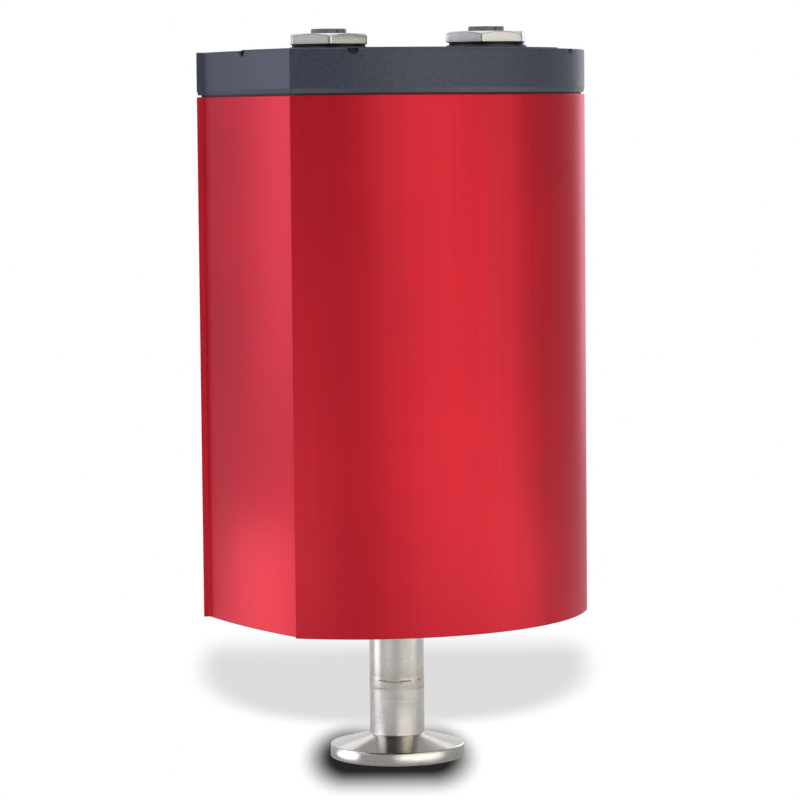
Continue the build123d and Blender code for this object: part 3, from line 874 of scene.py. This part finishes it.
def notch_back(outer, h, c, notched, flat_inset):
    """Plan of the rim's inner side: set in a little all round, and to the notches' back walls."""
    back = inset(outer, flat_inset)
    for place, inward in notch_places(h, c):
        away = outer - place
        near = notched & (np.hypot(*away.T) < 2 * c.notch_radius)
        sideways = np.array([-inward[1], inward[0]])
        along = away[near] @ sideways
        back[near] = place + along[:, None] * sideways + inward * c.notch_depth
    return back


class GAUGE_OT_foil(bpy.types.Operator):
    """Bare foil on the cap"""

    bl_idname = "gauge.foil"
    bl_label = "Foil"

    def execute(self, context):
        gauge = context.scene.gauge
        h, c = gauge.housing, gauge.cap
        low, high = heights("cap_label")
        outline = foil_outline(h, c)
        holes = [circle(socket_axis(name), c.boss_radius + c.slip, ROUND_STEPS) for name in SOCKETS]
        holes += [circle((side * h.port_x, side * h.port_y), c.foil_hole, 48) for side in (-1, 1)]
        foil = Surface()
        edge = c.foil_thickness * 0.4
        lips = [outline, *[hole[::-1] for hole in holes]]
        tops = []
        for lip in lips:
            rows = [at(inset(lip, step), high - drop) for step, drop in rounding(edge, 3)]
            foil.grid([at(lip, low), *rows[1:]])
            tops.append(rows[-1])
        foil.flat(tops[0], tops[1:], high)
        foil.flat(outline, holes, low)
        plastic = plain_plastic("foil", gauge.colours.foil, 0.46, 3800, 0.008)
        foil.piece("cap_foil", plastic, "label_foil", "cap_label")
        return {"FINISHED"}


def foil_outline(h, c):
    """Outline of the foil: the housing's plan set in, with bites for the corners and the screws."""
    arc_centre = (0.0, h.arc_radius - h.half_depth)
    panel_centre, panel_radius, half_length = panel_circle(h)
    large, shallow = h.arc_radius - c.foil_inset, panel_radius - c.foil_inset
    corner, radius = (h.half_width, -half_length), half_length - c.notch_radius
    first = circles_meet(arc_centre, large, corner, radius)[0]
    last = circles_meet(panel_centre, shallow, corner, radius)[1]
    start, end = heading(first, corner), heading(last, corner) - TAU
    bite = arc(corner, radius, np.linspace(start, end, 60))[1:-1]
    plain = circles_meet(arc_centre, large, panel_centre, shallow)[1]
    quarters = []
    for front_end, side_start, between in ((first, last, bite), (plain, plain, np.zeros((0, 2)))):
        front = arc(arc_centre, large, np.linspace(-math.pi / 2, heading(front_end, arc_centre), 50))
        side = arc(panel_centre, shallow, np.linspace(heading(side_start, panel_centre), 0, 24))
        quarters.append(np.concatenate([front, between, side if len(between) else side[1:]]))
    front_right, front_left = quarters
    right = np.concatenate([front_right, (front_left * (1, -1))[::-1][1:]])
    return np.concatenate([right, -right[1:-1]])


class GAUGE_OT_sockets(bpy.types.Operator):
    """Two plug sockets: seal, hexagon shell with its thread, keyed insert and contacts"""

    bl_idname = "gauge.sockets"
    bl_label = "Plug sockets"

    def execute(self, context):
        gauge = context.scene.gauge
        s, colours = gauge.socket, gauge.colours
        rubber = plain_plastic("socket_rubber", colours.rubber, 0.5, 2600)
        insert_plastic = plain_plastic("insert_plastic", colours.insert, 0.34, 4200, 0.006)
        gold = grained_metal("contact_gold", colours.gold, 0.22, 6000, 0.004)
        brass = grained_metal("nickelled_brass", colours.brass, 0.3, 4200, 0.008)
        for name, turn in zip(SOCKETS, (s.front_turn, s.rear_turn)):
            centre = socket_axis(name)
            socket_seal(name, centre, s, rubber)
            socket_shell(name, centre, s, turn, brass)
            socket_insert(name, centre, s, insert_plastic)
            socket_contacts(name, centre, s, gold)
        return {"FINISHED"}


def socket_seal(name, centre, s, material):
    """Flat rubber ring under the hexagon, its outer edges rounded."""
    low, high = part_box(f"{name}_seal")
    outer, inner = (high.x - low.x) / 2, s.seal_bore
    corners = [(inner, low.z), (outer, low.z), (outer, high.z), (inner, high.z)]
    profile = softened(corners, [0, s.seal_edge, s.seal_edge, 0])
    turned_piece(f"{name}_seal_ring", profile, ROUND_STEPS, material, "rubber", f"{name}_seal", centre)


def socket_shell(name, centre, s, turn, material):
    """Hexagon, barrel and threaded bore.

    The hexagon's radius at heading a is half its width over the smooth maximum of cos(a - b) for the
    flats' headings b, so its corners are rounded; its top is cut by a cone. The thread's depth is a
    rounded triangle wave of height and turn."""
    foot, top = heights(f"{name}_shell")
    turns = np.arange(240) * TAU / 240
    flats = np.maximum(np.cos(turns[:, None] - turn - (np.arange(6) + 0.5) * TAU / 6), 0)
    half = s.across_flats / 2
    radius = half * np.sum(flats**s.corner_power, axis=1) ** (-1 / s.corner_power)
    crown = top - s.chamfer - (radius - half) * s.chamfer_slope
    hex_foot = top - s.hex_height
    flat_radius = half - s.top_inset
    mouth = s.bore_radius + s.thread_depth

    def ring(r, z):
        plan = np.stack([np.cos(turns), np.sin(turns)], 1) * np.broadcast_to(r, len(turns))[:, None]
        return at(plan + centre, z)

    rows = [
        ring(s.bore_radius, foot),
        ring(s.barrel_radius - s.barrel_chamfer, foot),
        ring(s.barrel_radius, foot + s.barrel_chamfer),
        ring(s.barrel_radius, hex_foot),
        ring(radius - 2 * s.edge, hex_foot),
        ring(radius - s.edge, hex_foot),
        ring(radius, hex_foot + s.edge),
        ring(radius, hex_foot + 2 * s.edge),
        ring(radius, crown - s.edge),
        ring(radius - 0.3 * s.edge, crown - 0.2 * s.edge),
        ring(radius - s.edge, crown + 0.4 * s.edge),
        ring(flat_radius + s.edge, top - 0.4 * s.edge),
        ring(flat_radius, top),
        ring(flat_radius - s.edge, top),
        ring(mouth + s.edge, top),
        ring(mouth, top - 0.3 * s.edge),
    ]
    start, end = top - s.thread_depth, top - s.bore_depth + s.thread_pitch
    for z in np.arange(start, end, -s.thread_pitch / 10):
        phase = (z / s.thread_pitch + turns / TAU) % 1
        wave = np.clip(np.abs(phase - 0.5) * 2.4 - 0.1, 0, 1)
        fade = max(0.0, min(1.0, (start - z) / s.thread_pitch, (z - end) / s.thread_pitch))
        rows.append(ring(s.bore_radius + s.thread_depth * wave * fade, z))
    shell = Surface().grid(closed_rows(np.stack(rows)))
    shell.piece(f"{name}_body", material, "nickelled_brass", f"{name}_shell", smooth=40)


def socket_insert(name, centre, s, material):
    """Contact carrier: round, with a key notch in its side and four round holes."""
    low, top = heights(f"{name}_insert")
    collar_top = heights(f"{name}_shell")[1] - s.bore_depth
    half = s.key_width / 2
    reach = math.asin(half / s.insert_radius)
    round_part = np.linspace(s.key_heading + reach, s.key_heading - reach + TAU, 96)
    inner = s.insert_radius - s.key_depth
    notch = np.array([(inner, -half), (inner, 0), (inner, half)])
    across, along = math.cos(s.key_heading), math.sin(s.key_heading)
    turn = np.array([[across, along], [-along, across]])
    outline = np.concatenate([arc((0, 0), s.insert_radius, round_part), notch @ turn])
    insert = Surface()
    rows = [at(outline + centre, collar_top)]
    rows += [at(inset(outline, step) + centre, top - drop) for step, drop in rounding(s.insert_edge, 4)]
    insert.grid(rows)
    places = contact_places(s, centre)
    holes = [circle(place, s.contact_radius, 32) for place in places]
    rims = [circle(place, s.contact_radius + s.contact_well, 32) for place in places]
    insert.flat(rows[-1], rims, top)
    for rim, hole in zip(rims, holes):
        insert.grid([at(rim, top), at(hole, top - s.contact_well), at(hole, low)])
    collar = circle(centre, s.bore_radius, 96)
    insert.flat(collar, [outline + centre], collar_top)
    insert.grid([at(collar, low), at(collar, collar_top)])
    insert.flat(collar, holes, low)
    insert.piece(f"{name}_carrier", material, "insert_plastic", f"{name}_insert")


def contact_places(s, centre):
    """Places of the four contacts, a quarter turn apart, half way between key and opposite."""
    return arc(centre, s.contact_circle, s.key_heading + math.radians(45) + np.arange(4) * TAU / 4)


def socket_contacts(name, centre, s, material):
    """Four gold contacts with a rounded mouth and a bore, and a thin solder tail."""
    low, top = heights(f"{name}_contacts")
    foot = heights(f"{name}_shell")[0]
    lip, taper = 0.1 * MM, 0.2 * MM
    profile = [
        (0.0, top - s.contact_depth),
        (s.contact_bore, top - s.contact_depth),
        (s.contact_bore, top - lip),
        (s.contact_bore + 0.6 * lip, top),
        (s.contact_radius - 0.8 * lip, top),
        (s.contact_radius, top - lip),
        (s.contact_radius, foot),
        (s.tail_radius, foot),
        (s.tail_radius, low + taper),
        (s.tail_radius - 0.75 * taper, low),
        (0.0, low),
    ]
    contacts = Surface()
    for place in contact_places(s, centre):
        contacts.grid(turned_rows(profile, 24, place))
    contacts.piece(f"{name}_pins", material, "contact_gold", f"{name}_contacts")


class GAUGE_OT_flange(bpy.types.Operator):
    """Polished process flange with its cone, stub and centring recess"""

    bl_idname = "gauge.flange"
    bl_label = "Process flange"

    def execute(self, context):
        gauge = context.scene.gauge
        n = gauge.neck
        top = heights("process_flange")[1]
        slope = math.tan(n.cone_angle)
        cone_top = n.flange_rim + (n.flange_radius - n.neck_radius) * slope
        corners = [
            (n.bore_radius, n.recess_depth),
            (n.recess_radius, n.recess_depth),
            (n.recess_radius, 0.0),
            (n.flange_radius, 0.0),
            (n.flange_radius, n.flange_rim),
            (n.neck_radius, cone_top),
            (n.neck_radius, top - n.weld_half_width),
            (n.bore_radius + n.root_gap, top),
            (n.bore_radius, top),
        ]
        reach = np.array([0.1, 0.15, 0.2, 0.2, 0.42, 0.15, 0, 0, 0]) * MM
        steel = flange_steel(gauge.colours.steel, n)
        profile = softened(corners, reach, 6)
        turned_piece("flange", profile, 288, steel, "flange_steel", "process_flange", smooth=28)
        return {"FINISHED"}


def flange_steel(metal_colour, n):
    """Turned steel: the cone is polished like a mirror, rim and stub are finely turned."""
    shader = Shader("flange_steel")
    radius, turn, z = shader.around()
    lines = shader.noise(8000, 2, 0.6, shader.joined(radius, turn * 0.00002, z))
    smudge = shader.noise(220, 3, 0.55)
    cone = shader.between(radius, n.neck_radius + 0.1 * MM, n.neck_radius + 0.5 * MM)
    cone = cone * shader.between(radius, n.flange_radius - 0.05 * MM, n.flange_radius - 0.3 * MM)
    tone = lines * 0.5 + smudge * 0.5
    rough = shader.between(tone, 0.3, 0.7, 0.24, 0.36)
    polish = shader.between(tone, 0.3, 0.7, 0.1, 0.17)
    return shader.surface(
        Base_Color=shader.toned(tone, metal_colour, 0.86, 1.05),
        Metallic=1.0,
        Roughness=rough + (polish - rough) * cone,
        Normal=shader.bump(lines, 0.0025 * MM),
    )


class GAUGE_OT_neck(bpy.types.Operator):
    """Neck with the sensor cup, and the weld bead that joins it to the flange"""

    bl_idname = "gauge.neck"
    bl_label = "Neck and weld"

    def execute(self, context):
        gauge = context.scene.gauge
        n = gauge.neck
        low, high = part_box("sensor_housing")
        cup_radius, cup_bore = high.x, high.x - n.cup_wall
        inside = n.cup_floor + n.cup_floor_thickness
        corners = [
            (n.bore_radius, low.z),
            (n.bore_radius + n.root_gap, low.z),
            (n.neck_radius, low.z + n.weld_half_width),
            (n.neck_radius, n.cup_floor - n.cup_flare),
            (n.neck_radius + n.cup_flare, n.cup_floor),
            (cup_radius, n.cup_floor),
            (cup_radius, high.z),
            (cup_bore, high.z),
            (cup_bore, inside),
            (n.bore_radius, inside),
        ]
        reach = np.array([0, 0, 0, 1, 0.3, 0.4, 0.3, 0.3, 0.3, 0.2]) * MM
        steel = satin_tube(gauge.colours.steel, low.z)
        turned_piece("neck", softened(corners, reach), 192, steel, "tube_steel", "sensor_housing", smooth=28)
        self.weld(gauge, n, low.z)
        return {"FINISHED"}

    def weld(self, gauge, n, middle):
        """Bead whose outer side has a low crown 1 - v^2 and the curved ripples of a travelling pool."""
        turns = np.arange(720) * TAU / 720
        across = np.linspace(-1, 1, 29)[:, None]
        bow = 0.6 * np.sqrt(1 - 0.92 * across**2)
        uneven = 0.12 * np.sin(3 * turns) + 0.07 * np.sin(11 * turns)
        phase = (turns * n.weld_ripples / TAU + bow + uneven) % 1
        ripple = (1 - phase) ** 1.6
        wander = 0.1 * np.sin(turns * 2 + 0.7) + 0.06 * np.sin(turns * 5) + 0.03 * np.sin(turns * 13 + 2)
        body = 1 - across**2
        radius = n.neck_radius + n.weld_crown * (0.55 * body + 0.12 * ripple * body**0.5)
        sag = 0.02 * MM * np.sin(turns * 7 + 1) * body
        radius = np.minimum(radius + sag, n.neck_radius + n.weld_crown)
        height = middle + across * n.weld_half_width + wander * 0.3 * MM * body
        outer = np.stack([radius * np.cos(turns), radius * np.sin(turns), height], axis=-1)
        root = turned_rows([(n.bore_radius + n.root_gap, middle)], len(turns))
        rows = np.concatenate([root, outer, root])
        material = weld_steel(gauge.colours.steel, n, middle)
        Surface().grid(rows).piece("weld", material, "weld_steel", "weld_bead", smooth=45)


def satin_tube(metal_colour, weld_height):
    """Ground tube: fine lines round the axis, faint blotches, a warm tint close to the weld."""
    shader = Shader("satin_tube")
    _, turn, z = shader.around()
    lines = shader.noise(5200, 3, 0.65, shader.joined(turn * 0.0006, 0.0, z))
    blotch = shader.noise(260, 3, 0.6)
    near_weld = shader.between(z, weld_height + 4.5 * MM, weld_height + 1.2 * MM)
    tone = lines * 0.6 + blotch * 0.4
    base = shader.toned(tone, metal_colour, 0.82, 1.02)
    base = shader.mix(near_weld * 0.35, base, linear(178, 162, 142))
    return shader.surface(
        Base_Color=base,
        Metallic=1.0,
        Roughness=shader.between(tone, 0.3, 0.7, 0.2, 0.3),
        Normal=shader.bump(lines, 0.003 * MM),
    )


def weld_steel(metal_colour, n, middle):
    """Weld metal: duller, with dark oxide lines along its edges and a straw tint between them."""
    shader = Shader("weld_steel")
    z = shader.axes()[2]
    waver = shader.noise(420, 2, 0.5) - 0.5
    height = (z - middle) / n.weld_half_width + waver * 0.6
    upper_line = shader.between(height, 0.28, 0.42) * shader.between(height, 0.7, 0.52)
    lower_line = shader.between(height, -0.66, -0.76) * shader.between(height, -0.98, -0.84)
    patches = shader.between(shader.noise(330, 1, 0.5), 0.47, 0.62)
    oxide = shader.noise(1500, 3, 0.6, shader.stretched((1, 1, 3)))
    base = shader.mix(shader.between(oxide, 0.3, 0.7), shaded(metal_colour, 0.8), linear(202, 195, 184))
    dark = upper_line * (0.12 + patches * 0.62) + lower_line * (patches * 0.35)
    base = shader.mix(dark, base, linear(86, 82, 88))
    return shader.surface(
        Base_Color=base,
        Metallic=1.0,
        Roughness=shader.between(oxide, 0.3, 0.7, 0.24, 0.36),
        Normal=shader.bump(oxide, 0.006 * MM),
    )


class GAUGE_OT_underside(bpy.types.Operator):
    """Bottom plate, the rubber ring round the neck, and the screws of plate, collar and cap"""

    bl_idname = "gauge.underside"
    bl_label = "Underside"

    def execute(self, context):
        gauge = context.scene.gauge
        h, n, screw = gauge.housing, gauge.neck, gauge.screw
        low, high = heights("bottom_plate")
        outline = barrel_outline(h, h.wall + gauge.cap.slip)
        places = [*ports(h), *collar_screws(screw)]
        neck_hole = circle((0, 0), n.plate_hole, 96)
        plate = Surface()
        lower = [at(inset(outline, step), low + drop) for step, drop in rounding(screw.plate_edge, 3)[::-1]]
        plate.grid([*lower, at(outline, high)])
        plate.flat(lower[0], [neck_hole, *[circle(p, screw.sink_radius, HOLE_STEPS) for p in places]], low)
        plate.flat(outline, [neck_hole, *[circle(p, screw.hole_radius, HOLE_STEPS) for p in places]], high)
        plate.grid([at(neck_hole, low), at(neck_hole, high)])
        for place in places:
            countersunk(plate, place, low, high, screw)
        coating = plain_plastic("plate_coating", gauge.colours.plate, 0.5, 3000, 0.02)
        plate.piece("base_plate", coating, "plate_black", "bottom_plate")
        self.ring(gauge.colours, n)
        self.screws(gauge)
        return {"FINISHED"}

    def ring(self, colours, n):
        """Rubber ring with a rounded lip against the plate."""
        low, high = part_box("neck_grommet")
        plate = heights("bottom_plate")[0]
        corners = [
            (n.neck_radius, low.z),
            (high.x, low.z),
            (high.x, plate),
            (n.plate_hole, plate),
            (n.plate_hole, high.z),
            (n.neck_radius, high.z),
        ]
        profile = softened(corners, np.array([0.1, 0.4, 0.15, 0, 0.1, 0.1]) * MM)
        rubber = plain_plastic("neck_rubber", colours.rubber, 0.52)
        turned_piece("neck_ring", profile, ROUND_STEPS, rubber, "rubber", "neck_grommet")

    def screws(self, gauge):
        """Countersunk screws of the cap, the plate and the collar."""
        steel = grained_metal("screw_steel", gauge.colours.steel, 0.3, 5200, 0.004)
        corners, collar = ports(gauge.housing), collar_screws(gauge.screw)
        sets = {
            "cap_screw_set": ("cap_screws", corners, True),
            "plate_screw_set": ("bottom_plate_screws", corners, False),
            "collar_screw_set": ("sensor_screws", collar, False),
        }
        for name, (node, places, from_above) in sets.items():
            tip, face = heights(node) if from_above else heights(node)[::-1]
            group = Surface()
            for place in places:
                screw_body(group, place, face, tip, gauge.screw)
            group.piece(name, steel, "screw_steel", node)


class GAUGE_OT_inner_finishes(bpy.types.Operator):
    """Finishes of the pieces that keep their solid form"""

    bl_idname = "gauge.finishes"
    bl_label = "Inner finishes"

    def execute(self, context):
        colours = context.scene.gauge.colours
        steel = turned_metal("inner_steel", colours.steel, 0.3)
        white = plain_plastic("alumina", linear(232, 228, 216), 0.55, 1800)
        black = plain_plastic("black_moulding", linear(26, 27, 30), 0.45, 2200)
        tin = grained_metal("tinned_sheet", linear(200, 202, 206), 0.28, 1400)
        finishes = {
            "cap_gasket": plain_plastic("gasket_rubber", colours.rubber, 0.6, 2600),
            "inlet_baffle": steel,
            "capsule_seal": tin,
            "sensor_base_ceramic": white,
            "reference_ceramic": white,
            "diaphragm": white,
            "getter": grained_metal("getter_metal", linear(120, 118, 116), 0.6, 2600),
            "getter_lid": white,
            "electrode_pins": grained_metal("pin_gold", colours.gold, 0.25, 5000),
            "wave_spring": steel,
            "clamp_ring": steel,
            "sensor_support": plain_plastic("collar_plastic", linear(188, 186, 178), 0.5, 1600),
            "sensor_board_posts": tin,
            "sensor_shield_can": tin,
            "power_converter": black,
            "processor_chip": black,
            "board_capacitors": plain_plastic("capacitor_sleeve", linear(34, 40, 74), 0.4, 1800),
            "sensor_plug": plain_plastic("plug_nylon", linear(214, 206, 184), 0.5, 1500),
            "ribbon_cable": plain_plastic("ribbon_grey", linear(136, 140, 146), 0.5, 1200),
            "board_link": black,
        }
        board = circuit_green()
        for name in ("sensor_board", "main_board", "connector_board"):
            finishes[name] = board
        brass = grained_metal("nut_brass", colours.brass, 0.3, 4200)
        for name in SOCKETS:
            finishes[f"{name}_lock_nut"] = brass
        for name, material in finishes.items():
            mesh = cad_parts[name].data
            mesh.materials.clear()
            mesh.materials.append(material)
        return {"FINISHED"}


COOL, NEUTRAL, WARM = (0.98, 0.99, 1.0), (1.0, 1.0, 1.0), (1.0, 0.965, 0.89)
UP, DOWN = 50.0, -0.3

# Each lamp: azimuth in degrees, distance from the axis, height, height that it is aimed at, its width and
# height, radiance and colour. Azimuth 0 is in front of the housing and 90 is on its right side.
LAMPS = {
    "key_right": (-3, 1.08, 0.42, 0.09, 1.05, 0.72, 1.5, WARM),
    "warm_right": (40, 1.08, 0.20, 0.12, 0.45, 0.35, 1.3, (1.0, 0.95, 0.84)),
    "strip_left": (-137, 0.99, 0.26, 0.09, 0.14, 0.75, 4.0, (0.72, 0.74, 1.0)),
    "wash_left": (-123, 1.19, 0.32, 0.09, 0.62, 0.75, 1.6, (0.86, 0.88, 1.0)),
    "front_left": (-88, 1.18, 0.40, 0.09, 0.30, 0.60, 1.05, (0.95, 0.97, 1.0)),
    "rim_right": (122, 0.90, 0.153, 0.09, 0.18, 0.70, 2.2, (0.88, 0.93, 1.0)),
    "overhead": (-32, 0.25, 1.264, 0.09, 0.90, 0.90, 1.2, NEUTRAL),
    "crown": (148, 0.70, 0.95, 0.15, 0.90, 0.50, 1.0, (0.96, 0.98, 1.0)),
}

# Cards, placed in the same way, which are seen only as reflections: the low ones, the ones under the
# housing and the glints give neck, cone and rim their streaks, and the floor's light up the front's foot.
CARDS = {
    "low_left": (-121, 0.093, 0.024, 0.024, 0.046, 0.046, 1.3, COOL),
    "low_right": (42, 0.093, 0.024, 0.024, 0.05, 0.046, 0.2, WARM),
    "under_left": (-113, 0.031, 0.030, DOWN, 0.022, 0.015, 1.8, COOL),
    "under_right": (19, 0.032, 0.030, DOWN, 0.030, 0.015, 1.6, (1.0, 0.93, 0.8)),
    "under_rear": (148, 0.027, 0.030, DOWN, 0.074, 0.050, 0.42, COOL),
    "glint_left": (-97, 0.026, 0.0003, UP, 0.012, 0.016, 4.4, COOL),
    "glint_right": (-3, 0.027, 0.0003, UP, 0.026, 0.016, 2.4, (1.0, 0.96, 0.9)),
    "floor_right": (24, 0.39, 0.004, UP, 0.45, 0.36, 1.8, (1.0, 0.97, 0.92)),
    "floor_left": (-66, 0.36, 0.004, UP, 0.16, 0.30, 1.8, NEUTRAL),
}


class GAUGE_OT_stage(bpy.types.Operator):
    """Pale floor, white surroundings, lamps and the camera"""

    bl_idname = "gauge.stage"
    bl_label = "Stage"

    def execute(self, context):
        scene = context.scene
        self.floor(scene)
        self.world(scene)
        for name, placing in {**LAMPS, **CARDS}.items():
            self.lamp(scene, name, *placing)
        self.camera(scene)
        scene.view_settings.view_transform = "Standard"
        return {"FINISHED"}

    def lamp(self, scene, name, azimuth, away, rise, aim, width, height, radiance, tint):
        """Rectangular lamp of even radiance, not seen by the camera."""
        lamp = bpy.data.lights.new(name, "AREA")
        lamp.shape, lamp.size, lamp.size_y = "RECTANGLE", width, height
        lamp.energy, lamp.color = radiance * math.pi * width * height, tint
        turn = math.radians(azimuth)
        holder = bpy.data.objects.new(name, lamp)
        holder.location = (math.sin(turn) * away, -math.cos(turn) * away, rise)
        holder.rotation_mode = "QUATERNION"
        holder.rotation_quaternion = (Vector((0, 0, aim)) - holder.location).to_track_quat("-Z", "Y")
        holder.visible_camera = False
        holder.visible_diffuse = name in LAMPS
        scene.collection.objects.link(holder)

    def floor(self, scene):
        """Large floor: seen directly it is white, with a painted contact shadow and a painted cast shadow;
        from below it is clear.

        As light it is a pale matt floor, and as a reflection it glows a little besides: a painted glow
        near the foot in place of light bounced off the floor."""
        mesh = bpy.data.meshes.new("floor")
        reach = 8.0
        corners = [(-reach, -reach, 0), (reach, -reach, 0), (reach, reach, 0), (-reach, reach, 0)]
        mesh.from_pydata(corners, [], [(0, 1, 2, 3)])
        floor = bpy.data.objects.new("floor", mesh)
        scene.collection.objects.link(floor)
        shader = Shader("floor_white")
        path = shader.node("ShaderNodeLightPath").socket.node
        seen = Value(shader, path.outputs["Is Camera Ray"])
        mirrored_ray = Value(shader, path.outputs["Is Glossy Ray"])
        x, y, _ = shader.axes()
        across, toward = math.sin(VIEW_AZIMUTH), math.cos(VIEW_AZIMUTH)
        side, depth = x * toward + y * across, y * toward - x * across
        # Painted shadows: a contact shadow under the flange and the housing's pale cast shadow behind the
        # foot darken the white that the camera sees.
        shown = self.painted_contact_shadow(shader, side, depth) * (1 - self.cast(shader, side, depth) * 0.28)
        radius = (x * x + y * y) ** 0.5
        # Painted glow near the foot, seen only in reflections, in place of light bounced off the floor.
        near = shader.between(radius, 0.1, 0.2, 0.14, 0.17)
        painted_bounce_glow = near * shader.between(radius, 0.6, 0.36, 0.3, 1.0)
        pale = shader.mix(seen, (0.8, 0.8, 0.8, 1), (0.0, 0.0, 0.0, 1))
        matt = shader.node("ShaderNodeBsdfDiffuse", None, {"Color": pale})
        strength = shown * seen + mirrored_ray * painted_bounce_glow
        glow = shader.node("ShaderNodeEmission", None, {"Color": (1, 1, 1, 1), "Strength": strength})
        total = shader.node("ShaderNodeAddShader", None, {0: matt, 1: glow})
        below = shader.node("ShaderNodeNewGeometry", output="Backfacing")
        clear = shader.node("ShaderNodeBsdfTransparent")
        total = shader.node("ShaderNodeMixShader", None, {0: below, 1: total, 2: clear})
        shader.node("ShaderNodeOutputMaterial", None, {"Surface": total})
        mesh.materials.append(shader.owner)

    def painted_contact_shadow(self, shader, side, depth):
        """Painted contact shadow: dark under the flange and gone a little way off, drawn out in depth.

        The distance is sqrt(max(1.8 |side| - 16.3 mm, 0)^2 + (0.44 depth)^2), from a middle that is
        shifted a little."""
        across = side.math("ABSOLUTE", side + 1.5 * MM) * 1.8 - 16.3 * MM
        across = side.math("MAXIMUM", across, 0.0)
        along = (depth + 2 * MM) * 0.44
        away = (across * across + along * along) ** 0.5
        return shader.between(away, 7.5 * MM, 22 * MM, 0.02, 1.0)

    def cast(self, shader, side, depth):
        """Painted pale shadow of the housing behind the foot: inside |s/a|^2.5 + |d/b|^2.5 = 1, ended far
        behind.
        """
        middle, half_width, half_depth, power = 150 * MM, 50.5 * MM, 109 * MM, 2.5
        across = side.math("ABSOLUTE", side + 0.5 * MM) / half_width
        along = side.math("ABSOLUTE", depth - middle) / half_depth
        inside = shader.between(across**power + along**power, 1.24, 0.76)
        return inside * shader.between(depth, 192 * MM, 136 * MM)

    def world(self, scene):
        """White where seen; as light it is bright behind the object and dim on the camera's side."""
        shader = Shader("studio", "worlds")
        scene.world = shader.owner
        seen = shader.node("ShaderNodeLightPath", output="Is Camera Ray")
        heading = shader.node("ShaderNodeTexCoord", output="Generated")
        behind = (-math.sin(VIEW_AZIMUTH), math.cos(VIEW_AZIMUTH), 0.0)
        settings = {"operation": "DOT_PRODUCT"}
        depth = shader.node("ShaderNodeVectorMath", settings, {0: heading, 1: behind}, "Value")
        glow = shader.between(depth, 0.1, 1.0, 0.27, 0.85)
        light = shader.node("ShaderNodeBackground", None, {"Color": (*COOL, 1), "Strength": glow})
        white = shader.node("ShaderNodeBackground", None, {"Color": (1, 1, 1, 1), "Strength": 1.0})
        mix = shader.node("ShaderNodeMixShader", None, {0: seen, 1: light, 2: white})
        shader.node("ShaderNodeOutputWorld", None, {"Surface": mix})

    def camera(self, scene):
        """Camera at the photograph's viewing angle: a long lens a little under the cap's height."""
        distance, eye_height = 0.77714, 0.14295
        aim_height, aim_aside, roll = 0.07992, 0.00129, -0.0094
        right = Vector((math.cos(VIEW_AZIMUTH), math.sin(VIEW_AZIMUTH), 0.0))
        place = Vector((right.y * distance, -right.x * distance, eye_height))
        aim = right * aim_aside + Vector((0.0, 0.0, aim_height))
        lens = bpy.data.cameras.new("camera")
        lens.lens, lens.sensor_width = 157.29, 36.0
        camera = bpy.data.objects.new("camera", lens)
        camera.location = place
        camera.rotation_mode = "QUATERNION"
        turn = (aim - place).to_track_quat("-Z", "Y")
        camera.rotation_quaternion = turn @ Quaternion((0, 0, 1), roll)
        scene.collection.objects.link(camera)
        scene.camera = camera


class GAUGE_PT_panel(bpy.types.Panel):
    """Lists the gauge's operators"""

    bl_idname = "GAUGE_PT_panel"
    bl_label = "Gauge"
    bl_space_type = "VIEW_3D"
    bl_region_type = "UI"
    bl_category = "Gauge"

    def draw(self, context):
        for operator in OPERATORS:
            self.layout.operator(operator.bl_idname)


OPERATORS = (
    GAUGE_OT_housing,
    GAUGE_OT_cap,
    GAUGE_OT_foil,
    GAUGE_OT_sockets,
    GAUGE_OT_flange,
    GAUGE_OT_neck,
    GAUGE_OT_underside,
    GAUGE_OT_inner_finishes,
    GAUGE_OT_stage,
)
GROUPS = (HousingSizes, CapSizes, SocketSizes, NeckSizes, ScrewSizes, GaugeColours, GaugeSettings)


def register():
    for kind in (*GROUPS, *OPERATORS, GAUGE_PT_panel):
        bpy.utils.register_class(kind)
    bpy.types.Scene.gauge = bpy.props.PointerProperty(type=GaugeSettings)


def unregister():
    del bpy.types.Scene.gauge
    for kind in reversed((*GROUPS, *OPERATORS, GAUGE_PT_panel)):
        bpy.utils.unregister_class(kind)


def main():
    register()
    for operator in OPERATORS:
        group, name = operator.bl_idname.split(".")
        getattr(getattr(bpy.ops, group), name)()


if __name__ == "__main__":
    main()
